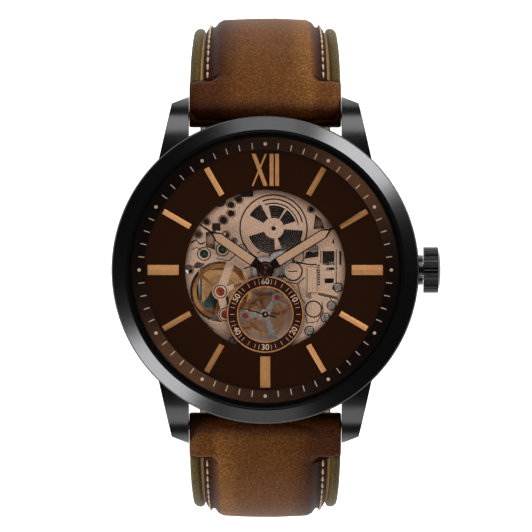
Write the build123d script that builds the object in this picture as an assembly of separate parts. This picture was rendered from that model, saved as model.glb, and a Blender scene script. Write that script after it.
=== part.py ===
from build123d import *
import os
from math import atan2, cos, degrees, radians, sin, sqrt

# Skeleton automatic wristwatch on a leather strap, whose tail half lies unfastened inside the buckle half.
# Frame: origin on the hand axis at the flat outer face of the case back, +Z out of the dial,
# +Y towards twelve o'clock, +X towards the crown. Millimetres.

LOW = (Align.CENTER, Align.CENTER, Align.MIN)
CORNER = (Align.MIN, Align.MIN, Align.MIN)

# Case
CASE_R = 22.0
BEZEL_R = 21.9
LUG_GAP_HALF = 11.0
CASE_BOTTOM = 0.8
CASE_TOP = 9.3
BAR_Y = 22.3
BAR_Z = 3.2
BAR_R = 0.75
BAR_PIVOT_R = 0.4
BAR_TIP = 12.2
CROWN_R = 3.3
FLUTE_R = 0.16
RUNNING = 0.05
SEAT_R = 19.2
GROOVE_R = 19.5
CRYSTAL_LOW = 10.2
BACK_GLASS_R = 15.6
LUG_SIDE = ((LUG_GAP_HALF, 13.0), (LUG_GAP_HALF, 24.9), (13.4, 23.9), (15.4, 15.0), (16.5, 13.0))
LUG_TOP = ((13.0, 9.25), (18.0, 9.15), (22.2, 7.9), (24.6, 5.2), (25.0, 2.2))

# Dial side heights
DIAL_R = 19.1
DIAL_LOW = 8.3
RING_R = 19.15
MARKER_INNER = 12.35
MARKER_OUTER = 16.8
DIAL_TOP = 8.7
MARKER_TOP = 9.1
APERTURE_R = 11.45
SUBDIAL = (0.0, -6.35)
SUBDIAL_R = 5.47
SUBDIAL_HOLE_R = 3.9

# Movement heights
PLATE_R = 13.0
PLATE_LOW = 6.4
PLATE_TOP = 7.9
RELIEF_TOP = 8.05
GROOVE_Z = 7.55
TEETH_IN_WINDOW = 9
BRIDGE_LOW = 3.4
BRIDGE_TOP = 4.15
COCK_TOP = 4.05
ARBOR_R = 0.16
PIVOT_R = 0.09
JEWEL_HOLE_R = 0.12
STEM_Z = 6.3
JEWEL_R = 0.62
SMALL_JEWEL_R = 0.45
SCREW_HOLE_R = 0.31
SCREW_R = 0.28
SCREW_HEAD_R = 0.5
ARM_TIP = (1.3, -10.15)

# Levels of the wheels (low, high)
CENTRE_LEVEL = (4.3, 4.5)
THIRD_LEVEL = (4.7, 4.9)
FOURTH_LEVEL = (5.2, 5.35)
ESCAPE_LEVEL = (5.75, 5.9)
BARREL_LEVEL = (5.75, 6.05)
CENTRE_PINION_LEVEL = (5.7, 6.1)
THIRD_PINION_LEVEL = (4.25, 4.55)
FOURTH_PINION_LEVEL = (4.65, 4.95)
ESCAPE_PINION_LEVEL = (5.1, 5.45)
PALLET_LEVEL = (5.7, 5.9)
BALANCE_LEVEL = (4.6, 5.05)
HAIRSPRING_LEVEL = (4.25, 4.4)
MAINSPRING_LEVEL = (4.95, 5.95)
CANNON_LEVEL = (7.35, 7.75)
MINUTE_LEVEL = (7.4, 7.6)
MINUTE_PINION_LEVEL = (7.55, 8.2)
HOUR_LEVEL = (8.0, 8.15)
RATCHET_LEVEL = (3.1, 3.35)
CLICK_LEVEL = (3.1, 3.3)
LEVER_LEVEL = (5.2, 5.5)
SECONDS_BRIDGE_LEVEL = (7.2, 7.6)
PALLET_BRIDGE_LEVEL = (5.15, 5.4)
AUTOMATIC_LEVEL = (2.8, 3.05)
HOUR_HAND_LEVEL = (9.05, 9.2)
MINUTE_HAND_LEVEL = (9.35, 9.5)

# Places of the axes
CENTRE = (0.0, 0.0)
BARREL = (1.19, 5.94)
BALANCE = (-6.43, -3.1)
FOURTH = SUBDIAL
THIRD = (1.71, -3.95)
ESCAPE = (-2.85, -6.55)
PALLET = (-5.67, -6.35)
MINUTE_WHEEL = (2.2, 0.96)
CROWN_WHEEL = (7.0, 0.0)
REVERSER = (2.9, 2.9)
CLICK = (-5.9, 5.2)
LEVER = (9.9, -2.6)
PALLET_POSTS = ((-7.9, -7.6), (-5.9, -8.9))
PLATE_JEWELS = (BALANCE, PALLET, (-6.1, 2.95), (-8.75, 2.3), (-8.2, -4.8))
POSTS = ((-8.6, 8.4), (7.9, 8.9), (-10.5, -6.0), (9.4, -6.6), (5.4, -10.7), (-4.6, -11.2), (11.6, 3.6))
TRAIN_OUTLINE = ((-1.2, 1.0), (2.3, 0.9), (4.2, -2.3), (12.0, -2.4), (10.8, -6.9), (6.2, -11.2), (0, -12.7),
                 (-2.4, -12.4), (-3.9, -8.2), (-4.0, -5.4), (-2.0, -4.0))
BARREL_OUTLINE = ((-10.4, 7.3), (-6.5, 10.9), (0, 12.7), (6.3, 11.0), (10.6, 7.0), (12.5, 2.5), (12.4, -2.0),
                  (4.6, -2.0), (2.6, 1.2), (-10.8, 1.6))
COCK_OUTLINE = ((-12.0, -4.6), (-10.9, -7.0), (-6.5, -11.1), (-3.6, -12.2), (-4.5, -9.0), (-5.0, -5.5),
                (-5.6, -2.3), (-7.2, -2.2), (-8.6, -4.4))
PLATE_GROOVES = (
    (((1.9, 0.5), (4.4, 1.15), (6.4, 0.75), (7.3, 0.8)), 0.2),
    (((7.95, 2.7), (7.95, 0.95)), 0.12),
    (((10.15, 2.9), (10.15, -1.9), (10.8, -3.0)), 0.12),
    (((5.5, 3.2), (5.5, 1.5), (5.0, 0.9)), 0.12),
    (((2.6, -0.9), (2.2, -1.6), (4.6, -2.0), (5.6, -1.1)), 0.14),
    (((4.6, -2.0), (5.2, -4.2), (5.7, -4.8)), 0.12),
    (((5.7, -6.4), (6.0, -7.6), (7.4, -7.4), (8.3, -5.9), (8.1, -4.6)), 0.12),
    (((9.2, -3.9), (10.2, -5.6), (9.6, -7.4)), 0.12),
    (((-10.6, 3.9), (-9.9, 4.3), (-9.3, 3.7), (-8.7, 3.9)), 0.2),
    (((-10.5, 2.9), (-9.8, 3.2), (-9.2, 2.9)), 0.12),
    (((-7.0, 1.6), (-5.2, 1.3), (-4.2, 2.2), (-4.4, 3.0)), 0.12),
    (((-1.1, 2.4), (-0.2, 2.9), (0.6, 4.1)), 0.14),
    (((-3.0, 0.2), (-1.9, 0.6), (-2.2, 1.9)), 0.16),
    (((-10.2, -5.6), (-9.0, -7.2), (-7.4, -8.6)), 0.12),
)
PLATE_SCREWS = ((6.9, 3.0), (9.5, -5.1), (8.6, -6.8), (6.3, -8.7), (10.4, -2.5), (-4.5, -10.2), (-3.3, 3.0))

# Tooth counts
BARREL_T = 72
CENTRE_PINION_T = 10
CENTRE_T = 64
THIRD_PINION_T = 8
THIRD_T = 60
FOURTH_PINION_T = 8
FOURTH_T = 84
ESCAPE_PINION_T = 7
ESCAPE_T = 15
CANNON_T = 12
MINUTE_T = 36
MINUTE_PINION_T = 10
HOUR_T = 40
RATCHET_T = 48
CROWN_WHEEL_T = 32
CONTRATE_T = 30
FLUTES = 40
WINDING_T = 15
ROTOR_T = 30
REVERSER_T = 22

# Hands, in degrees clockwise from twelve at 10:09:47
HOUR_ANGLE = 304.9
MINUTE_ANGLE = 58.2
SECOND_ANGLE = 284.6

# Strap and buckle, in the Y-Z plane
STRAP_HALF = 10.8
STRAP_THIN_HALF = 10.0
PAD = 2.1
THIN = 1.1
LOOP_Y = 35.6
TAIL_LOOP_Y = 34.9
LOOP_R = 26.4
LOOP_Z = -19.0
BUCKLE_Z = LOOP_Z - LOOP_R
FLAT_Y = LOOP_Y - LOOP_R
BUCKLE_EYE_R = 1.35
LAYER_GAP = 0.3
FASTENED_Z = BUCKLE_Z - BUCKLE_EYE_R - LAYER_GAP - THIN
TAIL_Z = BUCKLE_Z + 3.8
TAIL_END = 12.0
FIRST_HOLE_Y = 4.0
LUG_FOLD_R = 1.8
INNER_PAD = 1.6
HOLE_R = 0.85
FLOOR_Z = -51.0
HOLE_PITCH = 6.5
KEEPER_GAP = 0.15
BUCKLE_HALF = 10.3
BUCKLE_OUT = 11.8

os.makedirs("parts", exist_ok=True)


def save(name, *shapes):
    solids = [solid for shape in shapes for solid in shape.solids()]
    export_step(solids[0] if len(solids) == 1 else Compound(children=solids), f"parts/{name}.step")


def disc(radius, low, high, at=CENTRE):
    return Pos(at[0], at[1], low) * Cylinder(radius, high - low, align=LOW)


def ring(outer, inner, low, high, at=CENTRE):
    return disc(outer, low, high, at) - disc(inner, low, high, at)


def slab(x_low, x_high, y_low, y_high, low, high):
    return Pos(x_low, y_low, low) * Box(x_high - x_low, y_high - y_low, high - low, align=CORNER)


def turned(*corners):
    """Solid of revolution about Z from (radius, height) corners."""
    return revolve(make_face(Plane.XZ * Polyline(*corners, close=True)), Axis.Z)


def plate(corners, low, high):
    """Flat plate with a polygonal outline."""
    return Pos(0, 0, low) * extrude(make_face(Polyline(*corners, close=True)), high - low)


def side_plate(corners, half):
    """Plate with a (y, z) outline, reaching half its thickness each way along X."""
    return extrude(make_face(Plane.YZ * Polyline(*corners, close=True)), half, both=True)


def rod_x(radius, x_low, x_high, y=0.0, z=STEM_Z):
    return Pos(x_low, y, z) * Rot(Y=90) * Cylinder(radius, x_high - x_low, align=LOW)


def clock(angle, radius):
    """Point on the dial at an angle clockwise from twelve."""
    return (radius * sin(radians(angle)), radius * cos(radians(angle)))


def bearing(start, end):
    """Direction from one axis to another, in degrees from +X."""
    return degrees(atan2(end[1] - start[1], end[0] - start[0]))


def gap(start, end):
    return sqrt((end[0] - start[0]) ** 2 + (end[1] - start[1]) ** 2)


def module_of(start, end, teeth_a, teeth_b):
    return 2 * gap(start, end) / (teeth_a + teeth_b)


ADDENDUM = 0.95
DEDENDUM = 1.25


def gear(teeth, module, low, high, at, facing=0.0, between=False):
    """Toothed disc with a tooth, or the gap between two teeth, facing a direction."""
    pitch = 360 / teeth
    first = facing + (pitch / 2 if between else 0)
    radius = module * teeth / 2
    root = radius - DEDENDUM * module
    tip = radius + ADDENDUM * module
    corners = []
    for tooth in range(teeth):
        for share, r in ((-0.29, root), (-0.12, tip), (0.12, tip), (0.29, root)):
            angle = radians(first + (tooth + share) * pitch)
            corners.append((at[0] + r * cos(angle), at[1] + r * sin(angle)))
    return plate(corners, low, high)


def wheel(teeth, module, low, high, at, facing=0.0, between=False, spokes=5, hub=0.55, rim=0.4):
    """Spoked gear wheel."""
    inner = module * (teeth / 2 - DEDENDUM) - rim
    windows = ring(inner, hub, low - 1, high + 1, at)
    for number in range(spokes):
        arm = slab(0, inner + 0.1, -0.14, 0.14, low - 1, high + 1)
        windows -= Pos(at[0], at[1], 0) * Rot(Z=facing + 20 + number * 360 / spokes) * arm
    return gear(teeth, module, low, high, at, facing, between) - windows


def arbor(at, low, high):
    """Shaft with a thin pivot at each end."""
    return disc(ARBOR_R, low, high, at) + disc(PIVOT_R, low - 0.3, high + 0.3, at)


def lugs():
    """Four lugs that curve down from the case."""
    outline = plate(LUG_SIDE, -1, 12)
    root, heel, toe = (13, 1.8), (19, 0.9), (24.2, 0.9)
    back = Curve() + [Line(root, heel), Line(heel, toe), Line(toe, LUG_TOP[-1]), Spline(*LUG_TOP[::-1]),
                      Line(LUG_TOP[0], root)]
    side = extrude(make_face(Plane.YZ * back), 30, both=True)
    one = outline & side
    far = mirror(one, Plane.YZ)
    return one + far + mirror(one, Plane.XZ) + mirror(far, Plane.XZ)


def mid_case():
    body = turned((17.6, 1.9), (18.0, 1.9), (18.0, 1.5), (18.6, 1.5), (18.6, CASE_BOTTOM),
                  (19.4, CASE_BOTTOM), (21.3, 2.2), (CASE_R, 4.0), (CASE_R, 8.8), (BEZEL_R, CASE_TOP),
                  (SEAT_R, CASE_TOP), (SEAT_R, DIAL_LOW), (17.6, DIAL_LOW))
    for side in (-1, 1):
        body -= Pos(0, side * BAR_Y, 0) * slab(-LUG_GAP_HALF, LUG_GAP_HALF, -2.25, 2.25, -1, 7.4)
    body += lugs() - disc(21.0, -2, 12)
    for side in (-1, 1):
        body -= rod_x(BAR_PIVOT_R + RUNNING, -BAR_TIP - 0.1, BAR_TIP + 0.1, side * BAR_Y, BAR_Z)
    return body - rod_x(1.32, 16, 23)


def bezel():
    """Broad sloping face round the crystal."""
    return turned((GROOVE_R, CASE_TOP), (BEZEL_R, CASE_TOP), (BEZEL_R, 10.3), (21.75, 10.5), (20.0, 11.5),
                  (19.8, 11.5), (19.7, 11.2), (GROOVE_R, 11.2))


def crystal():
    dome = ((SEAT_R, 11.3), (19.0, 11.5), (10, 11.8), (0, 11.9))
    return turned((0, CRYSTAL_LOW), (SEAT_R, CRYSTAL_LOW), *dome)


def case_back():
    """Flat ring with six wrench notches."""
    back = turned((14.6, 0), (17.7, 0), (18.5, 0.6), (18.5, 1.45), (15.7, 1.45), (15.7, 0.4), (14.6, 0.4))
    for number in range(6):
        back -= Rot(Z=30 + number * 60) * slab(17.0, 19.0, -1.1, 1.1, -1, 0.7)
    return back


def crown():
    """Fluted head with a domed cap, on a pipe that runs in the case tube."""
    head = rod_x(CROWN_R, 22.65, 24.75) + Pos(24.7, 0, STEM_Z) * Rot(Y=90) * Cone(3.1, 2.3, 0.35, align=LOW)
    flute = Pos(0, CROWN_R + 0.04, 0) * Rot(Y=90) * Cylinder(FLUTE_R, 4)
    for number in range(FLUTES):
        head -= Pos(23.7, 0, STEM_Z) * Rot(X=number * 360 / FLUTES) * flute
    pipe = rod_x(0.7, 19.5, 22.7) - (rod_x(0.8, 20.8, 21.4) - rod_x(0.55, 20.7, 21.5))
    return head + pipe - rod_x(0.4, 19.0, 21.9)


def stem():
    """Stem with a square for the clutch and a groove for the setting lever."""
    shaft = rod_x(0.4, 9.0, 21.9) - rod_x(1, 10.4, 10.9) + rod_x(0.26, 5.6, 6.0)
    square = Pos(0, 0, STEM_Z) * slab(5.9, 9.1, -0.27, 0.27, -0.27, 0.27)
    return shaft + square + rod_x(0.22, 10.3, 11.0)


def dial():
    opened = ring(DIAL_R, APERTURE_R, DIAL_LOW, DIAL_TOP)
    return opened - disc(SUBDIAL_R + 0.02, DIAL_LOW - 1, DIAL_TOP + 1, SUBDIAL)


def subdial_ring():
    band = ring(SUBDIAL_R, SUBDIAL_HOLE_R, DIAL_LOW, DIAL_TOP - 0.05, SUBDIAL)
    tab = slab(-1.0, 1.0, -1.3, 0, DIAL_LOW, DIAL_TOP - 0.05)
    boss = disc(1.25, DIAL_LOW, DIAL_TOP - 0.05)
    return band + tab + boss - disc(0.85, DIAL_LOW - 1, DIAL_TOP + 1)


def subdial_rims():
    top = DIAL_TOP + 0.05
    return [ring(SUBDIAL_R, SUBDIAL_R - 0.17, DIAL_TOP - 0.05, top, SUBDIAL),
            ring(SUBDIAL_HOLE_R + 0.15, SUBDIAL_HOLE_R, DIAL_TOP - 0.05, top, SUBDIAL)]


def hour_marker(hour):
    """Faceted bar; wider at the quarter hours."""
    half = 0.72 if hour % 3 == 0 else 0.4
    ends = [(half, MARKER_INNER), (half, MARKER_OUTER), (-half, MARKER_OUTER), (-half, MARKER_INNER)]
    roof = extrude(make_face(Plane.XZ * Polyline((-half, DIAL_TOP), (half, DIAL_TOP), (half, 8.9),
                                                 (0, MARKER_TOP), (-half, 8.9), close=True)), -20)
    return Rot(Z=-30 * hour) * (plate(ends, DIAL_TOP, MARKER_TOP) & roof)


def numeral_twelve():
    """XII: one thick and one thin diagonal stroke, then two bars."""
    low, high = 12.0, 16.6

    def stroke(bottom, top, width):
        corners = [(bottom, low), (bottom + width, low), (top + width, high), (top, high)]
        return plate(corners, DIAL_TOP, MARKER_TOP)

    cross = stroke(-0.25, -1.95, 0.6) + stroke(-1.95, -0.05, 0.28)
    return [cross, stroke(0.62, 0.62, 0.57), stroke(1.4, 1.4, 0.57)]


def hand(angle, low, high, hub, bore, lume_end, point, window):
    """Frame hand with an open slot for its luminous filling and a needle point."""
    frame = [(-0.5, 0.5), (0.5, 0.5), (0.72, 1.9), (0.72, lume_end - 0.9), (0.17, lume_end + 0.3),
             (0.1, point), (-0.1, point), (-0.17, lume_end + 0.3), (-0.72, lume_end - 0.9), (-0.72, 1.9)]
    shoulder = lume_end - 1.0
    slot = [(-window, 2.15), (window, 2.15), (window, shoulder), (0, lume_end), (-window, shoulder)]
    blade = plate(frame, low, high) + disc(hub, low, high) - plate(slot, low - 1, high + 1)
    return Rot(Z=-angle) * (blade - disc(bore, low - 1, high + 1))


def seconds_hand():
    low, high = 8.8, 8.87
    blade = plate([(-0.12, -1.6), (0.12, -1.6), (0.05, 3.7), (-0.05, 3.7)], low, high) + disc(0.45, low, 8.93)
    return Pos(*FOURTH, 0) * Rot(Z=-SECOND_ANGLE) * (blade - disc(0.13, low - 1, high + 1))


def main_plate():
    """Skeleton plate: windows at the balance, barrel, seconds train and keyless works."""
    body = disc(PLATE_R, PLATE_LOW, PLATE_TOP)
    low, high = PLATE_LOW - 1, PLATE_TOP + 1

    # Balance window, crossed by an arm that carries the balance jewel
    window = disc(4.35, low, high, BALANCE)
    arm = Pos(*BALANCE, 0) * Rot(Z=70) * slab(-1.0, 5.0, -0.6, 0.6, low, high)
    foot = Pos(*BALANCE, 0) * Rot(Z=-77) * slab(0, 5.0, -0.55, 0.55, low, high)
    ear = Pos(*BALANCE, 0) * Rot(Z=20) * slab(0, 5.0, -0.4, 0.4, low, high)
    body -= window - arm - foot - ear - disc(1.15, low, high, BALANCE) - disc(1.1, low, high, PALLET)

    # Barrel cover: a recess with windows between curved arms
    body -= ring(4.9, 4.7, 7.65, high, BARREL)
    for start, sweep, inner, outer in ((60, 42, 1.5, 3.3), (18, 36, 1.5, 3.3), (118, 34, 1.6, 3.9),
                                       (198, 76, 1.4, 3.7), (292, 64, 1.5, 4.2)):
        body -= sector(BARREL, start, sweep, inner, outer, low, high)
    for start, sweep, inner, outer in ((52, 58, 3.5, 3.7), (12, 100, 4.1, 4.3), (8, 52, 3.5, 3.65)):
        body -= sector(BARREL, start, sweep, inner, outer, GROOVE_Z, high)

    # Seconds train window below the small seconds ring
    body -= disc(SUBDIAL_HOLE_R + 0.15, low, high, SUBDIAL)

    # Keyless works: stem channel, toothed window, slots
    body -= slab(5.4, 13.2, -1.3, 1.3, low, 7.55)
    body -= slab(8.2, 9.9, 0.7, 2.7, low, high)
    body -= slab(8.7, 9.9, -0.05, 0.35, low, high)
    body -= slab(8.5, 9.8, -1.9, -1.2, low, high)
    body -= plate([(7.5, -3.6), (10.4, -4.3), (10.3, -3.8), (7.6, -3.2)], low, high)
    body -= plate([(5.7, -3.9), (6.6, -4.2), (6.5, -2.8), (6.1, -2.5)], low, high)
    body -= plate([(2.2, 3.1), (5.3, 3.4), (5.0, 5.0), (3.4, 5.3)], low, high)
    body -= plate([(6.9, 5.8), (8.5, 5.9), (8.1, 7.2), (7.2, 8.0)], 7.2, high)
    body -= plate([(9.5, 3.9), (9.9, 4.6), (9.8, 3.7)], low, high)
    body -= plate([(5.6, 1.6), (7.6, 1.9), (7.6, 2.6), (5.9, 2.6)], low, high)
    body -= slab(10.6, 10.9, 0.7, 2.7, low, high)

    # Raised parts of the keyless works, with their outlines cut round them
    cap, block = (3.95, -0.2), (6.05, 7.35, -3.2, 0.35)
    body -= ring(1.42, 1.25, GROOVE_Z, high, cap) + ring(1.25, 1.05, GROOVE_Z, high, (6.9, -5.6))
    body += slab(*block, PLATE_TOP - 0.1, RELIEF_TOP)
    for path, width in PLATE_GROOVES:
        for start, end in zip(path, path[1:]):
            body -= strip(start, end, width, GROOVE_Z, high)
    for tooth in range(TEETH_IN_WINDOW):
        body -= slab(7.45, 7.85, 0.55 - tooth * 0.34, 0.75 - tooth * 0.34, low, high)

    # Left side: recess, slot and edge notches
    body -= plate([(-8.5, 3.3), (-7.2, 2.9), (-7.1, 5.6), (-8.5, 5.4)], 7.2, high)
    body -= plate([(-10.4, 0.3), (-9.3, 0.2), (-8.6, 0.9), (-9.8, 1.2)], low, high)
    body -= disc(0.9, low, high, (-6.5, 9.9))
    body -= Pos(-2.7, 10.75, 0) * slab(-1.0, 1.0, -0.3, 2.4, low, high)
    for x, y, radius in ((-3.8, 10.1, 0.5), (-4.9, 9.3, 0.48), (-4.9, 8.1, 0.48), (-6.0, 7.1, 0.55),
                         (-8.4, 6.9, 0.45), (-9.6, 5.1, 0.5), (-5.6, 4.95, 0.45), (-4.5, 4.1, 0.35),
                         (-10.9, 0, 0.52), (6.6, 8.7, 0.36), (-3.9, -2.3, 0.35)):
        body -= disc(radius, low, high, (x, y))
        body -= disc(radius + 0.22, PLATE_TOP - 0.2, high, (x, y))
    body -= slab(-7.6, -6.4, 5.6, 6.7, low, high)

    # Running holes, motion works pocket and posts for the bridges
    body -= disc(0.9, low, high)
    body -= disc(1.35, 7.2, high)
    for at in PLATE_JEWELS:
        body -= disc(JEWEL_R, low, high, at) + ring(1.0, 0.86, GROOVE_Z, high, at)
    body -= disc(2.05, 7.3, high, MINUTE_WHEEL)
    body += disc(1.2, PLATE_TOP - 0.1, RELIEF_TOP, cap) - slab(3.3, 4.6, -0.28, -0.12, PLATE_TOP, high)
    body -= disc(0.23, low, high, MINUTE_WHEEL)
    body -= disc(0.33, low, high, BARREL)
    body -= disc(0.33, low, high, LEVER)
    for at in POSTS:
        body += disc(0.75, BRIDGE_TOP, PLATE_LOW, at)
    for at in POSTS:
        body -= disc(SCREW_HOLE_R, BRIDGE_TOP - 1, 6.8, at)
    for at in PLATE_SCREWS:
        body -= disc(SCREW_HOLE_R, 7.0, high, at) + ring(0.72, 0.6, GROOVE_Z, high, at)
    return body


def sector(at, start, sweep, inner, outer, low, high):
    """Curved window between two radii and two directions about an axis."""
    first = [(r * cos(radians(start)), r * sin(radians(start))) for r in (inner, outer)]
    last = [(r * cos(radians(start + sweep)), r * sin(radians(start + sweep))) for r in (outer, inner)]
    middle = radians(start + sweep / 2)
    edges = [Line(first[0], first[1]),
             ThreePointArc(first[1], (outer * cos(middle), outer * sin(middle)), last[0]),
             Line(last[0], last[1]),
             ThreePointArc(last[1], (inner * cos(middle), inner * sin(middle)), first[0])]
    return Pos(at[0], at[1], low) * extrude(make_face(Curve() + edges), high - low)


def jewel(at, low, high, radius):
    return ring(radius, JEWEL_HOLE_R, low, high, at)


def bridge(corners, jewel_holes, high=BRIDGE_TOP):
    """Back plate with a hole for each jewel and for each fixing screw it covers."""
    body = plate(corners, BRIDGE_LOW, high)
    for at, radius in jewel_holes:
        body -= disc(radius, BRIDGE_LOW - 1, high + 1, at)
    for at in POSTS:
        body -= disc(SCREW_HOLE_R, BRIDGE_LOW - 1, high + 1, at)
    return body


def back_screw(at):
    """Slotted screw that holds a bridge to a post of the main plate."""
    body = disc(SCREW_HEAD_R, BRIDGE_LOW - 0.25, BRIDGE_LOW, at) + disc(SCREW_R, BRIDGE_LOW - 0.1, 6.0, at)
    return body - Pos(at[0], at[1], 0) * slab(-1, 1, -0.07, 0.07, BRIDGE_LOW - 0.35, BRIDGE_LOW - 0.15)


def front_screw(number, at):
    """Slotted screw in the front of the main plate."""
    body = disc(SCREW_HEAD_R, PLATE_TOP, RELIEF_TOP, at) + disc(SCREW_R, 7.05, PLATE_TOP + 0.05, at)
    slot = Rot(Z=number * 50) * slab(-1, 1, -0.07, 0.07, PLATE_TOP + 0.05, RELIEF_TOP + 1)
    return body - Pos(at[0], at[1], 0) * slot


def strip(start, end, width, low, high):
    """Straight arm between two axes, with round ends."""
    body = Pos(start[0], start[1], 0) * Rot(Z=bearing(start, end)) * slab(0, gap(start, end), -width / 2,
                                                                         width / 2, low, high)
    return body + disc(width / 2, low, high, start) + disc(width / 2, low, high, end)


def spiral(at, inner, outer, turns, thickness, low, high, steps=20):
    """Flat spiral spring."""
    count = int(turns * steps)
    inside, outside = [], []
    for step in range(count + 1):
        angle = radians(step * 360 / steps)
        radius = inner + (outer - inner) * step / count
        inside.append((at[0] + radius * cos(angle), at[1] + radius * sin(angle)))
        radius += thickness
        outside.append((at[0] + radius * cos(angle), at[1] + radius * sin(angle)))
    return plate(inside + outside[::-1], low, high)


def motion_module():
    return module_of(CENTRE, MINUTE_WHEEL, CANNON_T, MINUTE_T)


def hour_module():
    return module_of(CENTRE, MINUTE_WHEEL, HOUR_T, MINUTE_PINION_T)


def cannon_pinion():
    teeth = gear(CANNON_T, motion_module(), *CANNON_LEVEL, CENTRE, bearing(CENTRE, MINUTE_WHEEL))
    return teeth + disc(0.42, 7.7, 9.52) - disc(0.3, 7, 10)


def hour_wheel():
    teeth = gear(HOUR_T, hour_module(), *HOUR_LEVEL, CENTRE, bearing(CENTRE, MINUTE_WHEEL))
    return teeth + disc(0.72, 8.1, 9.2) - disc(0.47, 7, 10)


def minute_wheel():
    """Carries the motion from the cannon pinion down to the hour wheel."""
    facing = bearing(MINUTE_WHEEL, CENTRE)
    teeth = gear(MINUTE_T, motion_module(), *MINUTE_LEVEL, MINUTE_WHEEL, facing, True)
    pinion = gear(MINUTE_PINION_T, hour_module(), *MINUTE_PINION_LEVEL, MINUTE_WHEEL, facing, True)
    return teeth + pinion + disc(0.2, 6.6, 7.5, MINUTE_WHEEL)


def centre_wheel():
    teeth = wheel(CENTRE_T, module_of(CENTRE, THIRD, CENTRE_T, THIRD_PINION_T), *CENTRE_LEVEL, CENTRE,
                  bearing(CENTRE, THIRD), True)
    module = module_of(BARREL, CENTRE, BARREL_T, CENTRE_PINION_T)
    pinion = gear(CENTRE_PINION_T, module, *CENTRE_PINION_LEVEL, CENTRE,
                  bearing(CENTRE, BARREL), True)
    return teeth + pinion + disc(0.3, 4.25, 9.4) + disc(0.25, 9.4, 9.62) + disc(PIVOT_R, 3.9, 4.3)


def third_wheel():
    teeth = wheel(THIRD_T, module_of(THIRD, FOURTH, THIRD_T, FOURTH_PINION_T), *THIRD_LEVEL, THIRD,
                  bearing(THIRD, FOURTH), True)
    module = module_of(CENTRE, THIRD, CENTRE_T, THIRD_PINION_T)
    pinion = gear(THIRD_PINION_T, module, *THIRD_PINION_LEVEL, THIRD,
                  bearing(THIRD, CENTRE))
    return teeth + pinion + arbor(THIRD, 4.2, 7.2)


def fourth_wheel():
    teeth = wheel(FOURTH_T, module_of(FOURTH, ESCAPE, FOURTH_T, ESCAPE_PINION_T), *FOURTH_LEVEL, FOURTH,
                  bearing(FOURTH, ESCAPE), True)
    module = module_of(THIRD, FOURTH, THIRD_T, FOURTH_PINION_T)
    pinion = gear(FOURTH_PINION_T, module, *FOURTH_PINION_LEVEL, FOURTH,
                  bearing(FOURTH, THIRD))
    return teeth + pinion + disc(ARBOR_R, 4.2, 7.9, FOURTH) + disc(0.13, 7.9, 8.95, FOURTH) + disc(
        PIVOT_R, 3.9, 4.2, FOURTH)


def escape_wheel():
    """Club-toothed escape wheel with its pinion."""
    corners = []
    pitch = 360 / ESCAPE_T
    for tooth in range(ESCAPE_T):
        for share, radius in ((0.0, 1.9), (0.34, 2.42), (0.5, 2.46), (0.46, 1.95)):
            corners.append(clock(-(tooth + share) * pitch, radius))
    rim = plate([(ESCAPE[0] + x, ESCAPE[1] + y) for x, y in corners], *ESCAPE_LEVEL)
    windows = ring(1.6, 0.45, 5, 6, ESCAPE)
    for number in range(4):
        windows -= Pos(*ESCAPE, 0) * Rot(Z=number * 90 + 30) * slab(0, 1.7, -0.12, 0.12, 5, 6)
    module = module_of(FOURTH, ESCAPE, FOURTH_T, ESCAPE_PINION_T)
    pinion = gear(ESCAPE_PINION_T, module, *ESCAPE_PINION_LEVEL, ESCAPE,
                  bearing(ESCAPE, FOURTH))
    return rim - windows + pinion + arbor(ESCAPE, 4.2, 7.2)


def pallet_fork():
    """Lever with two arms towards the escape wheel and a fork towards the balance."""
    low, high = PALLET_LEVEL
    body = disc(0.4, low, high, PALLET)
    for turn in (30, -30):
        direction = radians(bearing(ESCAPE, PALLET) + turn)
        body += strip(PALLET, (ESCAPE[0] + 2.75 * cos(direction), ESCAPE[1] + 2.75 * sin(direction)), 0.3,
                      low, high)
    reach = radians(bearing(PALLET, BALANCE))
    end = (PALLET[0] + 2.4 * cos(reach), PALLET[1] + 2.4 * sin(reach))
    body += strip(PALLET, end, 0.24, low, high) + disc(0.36, low, high, end)
    notch = (PALLET[0] + 2.65 * cos(reach), PALLET[1] + 2.65 * sin(reach))
    return body - disc(0.24, low - 1, high + 1, notch) + arbor(PALLET, 5.45, 6.85)


def balance_wheel():
    """Rim, three arms, staff, roller and impulse pin."""
    body = ring(4.0, 3.45, *BALANCE_LEVEL, BALANCE) + disc(0.7, 4.65, 4.95, BALANCE)
    for number in range(3):
        body += Pos(*BALANCE, 0) * Rot(Z=140 + number * 120) * slab(0, 3.5, -0.22, 0.22, 4.7, 4.9)
    direction = radians(bearing(BALANCE, PALLET))
    pin = (BALANCE[0] + 0.7 * cos(direction), BALANCE[1] + 0.7 * sin(direction))
    return body + arbor(BALANCE, 4.1, 6.85) + disc(0.85, 5.45, 5.6, BALANCE) + disc(0.08, 5.5, 5.9, pin)


def barrel_drum():
    """Toothed drum with an open top."""
    module = module_of(BARREL, CENTRE, BARREL_T, CENTRE_PINION_T)
    teeth = gear(BARREL_T, module, *BARREL_LEVEL, BARREL, bearing(BARREL, CENTRE)) - disc(4.9, 5, 7, BARREL)
    return teeth + ring(5.0, 4.75, 4.7, 6.1, BARREL) + ring(4.8, 0.62, 4.7, 4.9, BARREL)


def barrel_arbor():
    return disc(0.58, 3.36, 6.2, BARREL) + disc(0.3, 2.98, 3.4, BARREL) + disc(0.3, 6.1, 6.95, BARREL)


def ratchet_wheel():
    module = module_of(BARREL, CROWN_WHEEL, RATCHET_T, CROWN_WHEEL_T)
    body = gear(RATCHET_T, module, *RATCHET_LEVEL, BARREL, bearing(BARREL, CROWN_WHEEL))
    return body - disc(0.3, 3, 4, BARREL)


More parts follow.
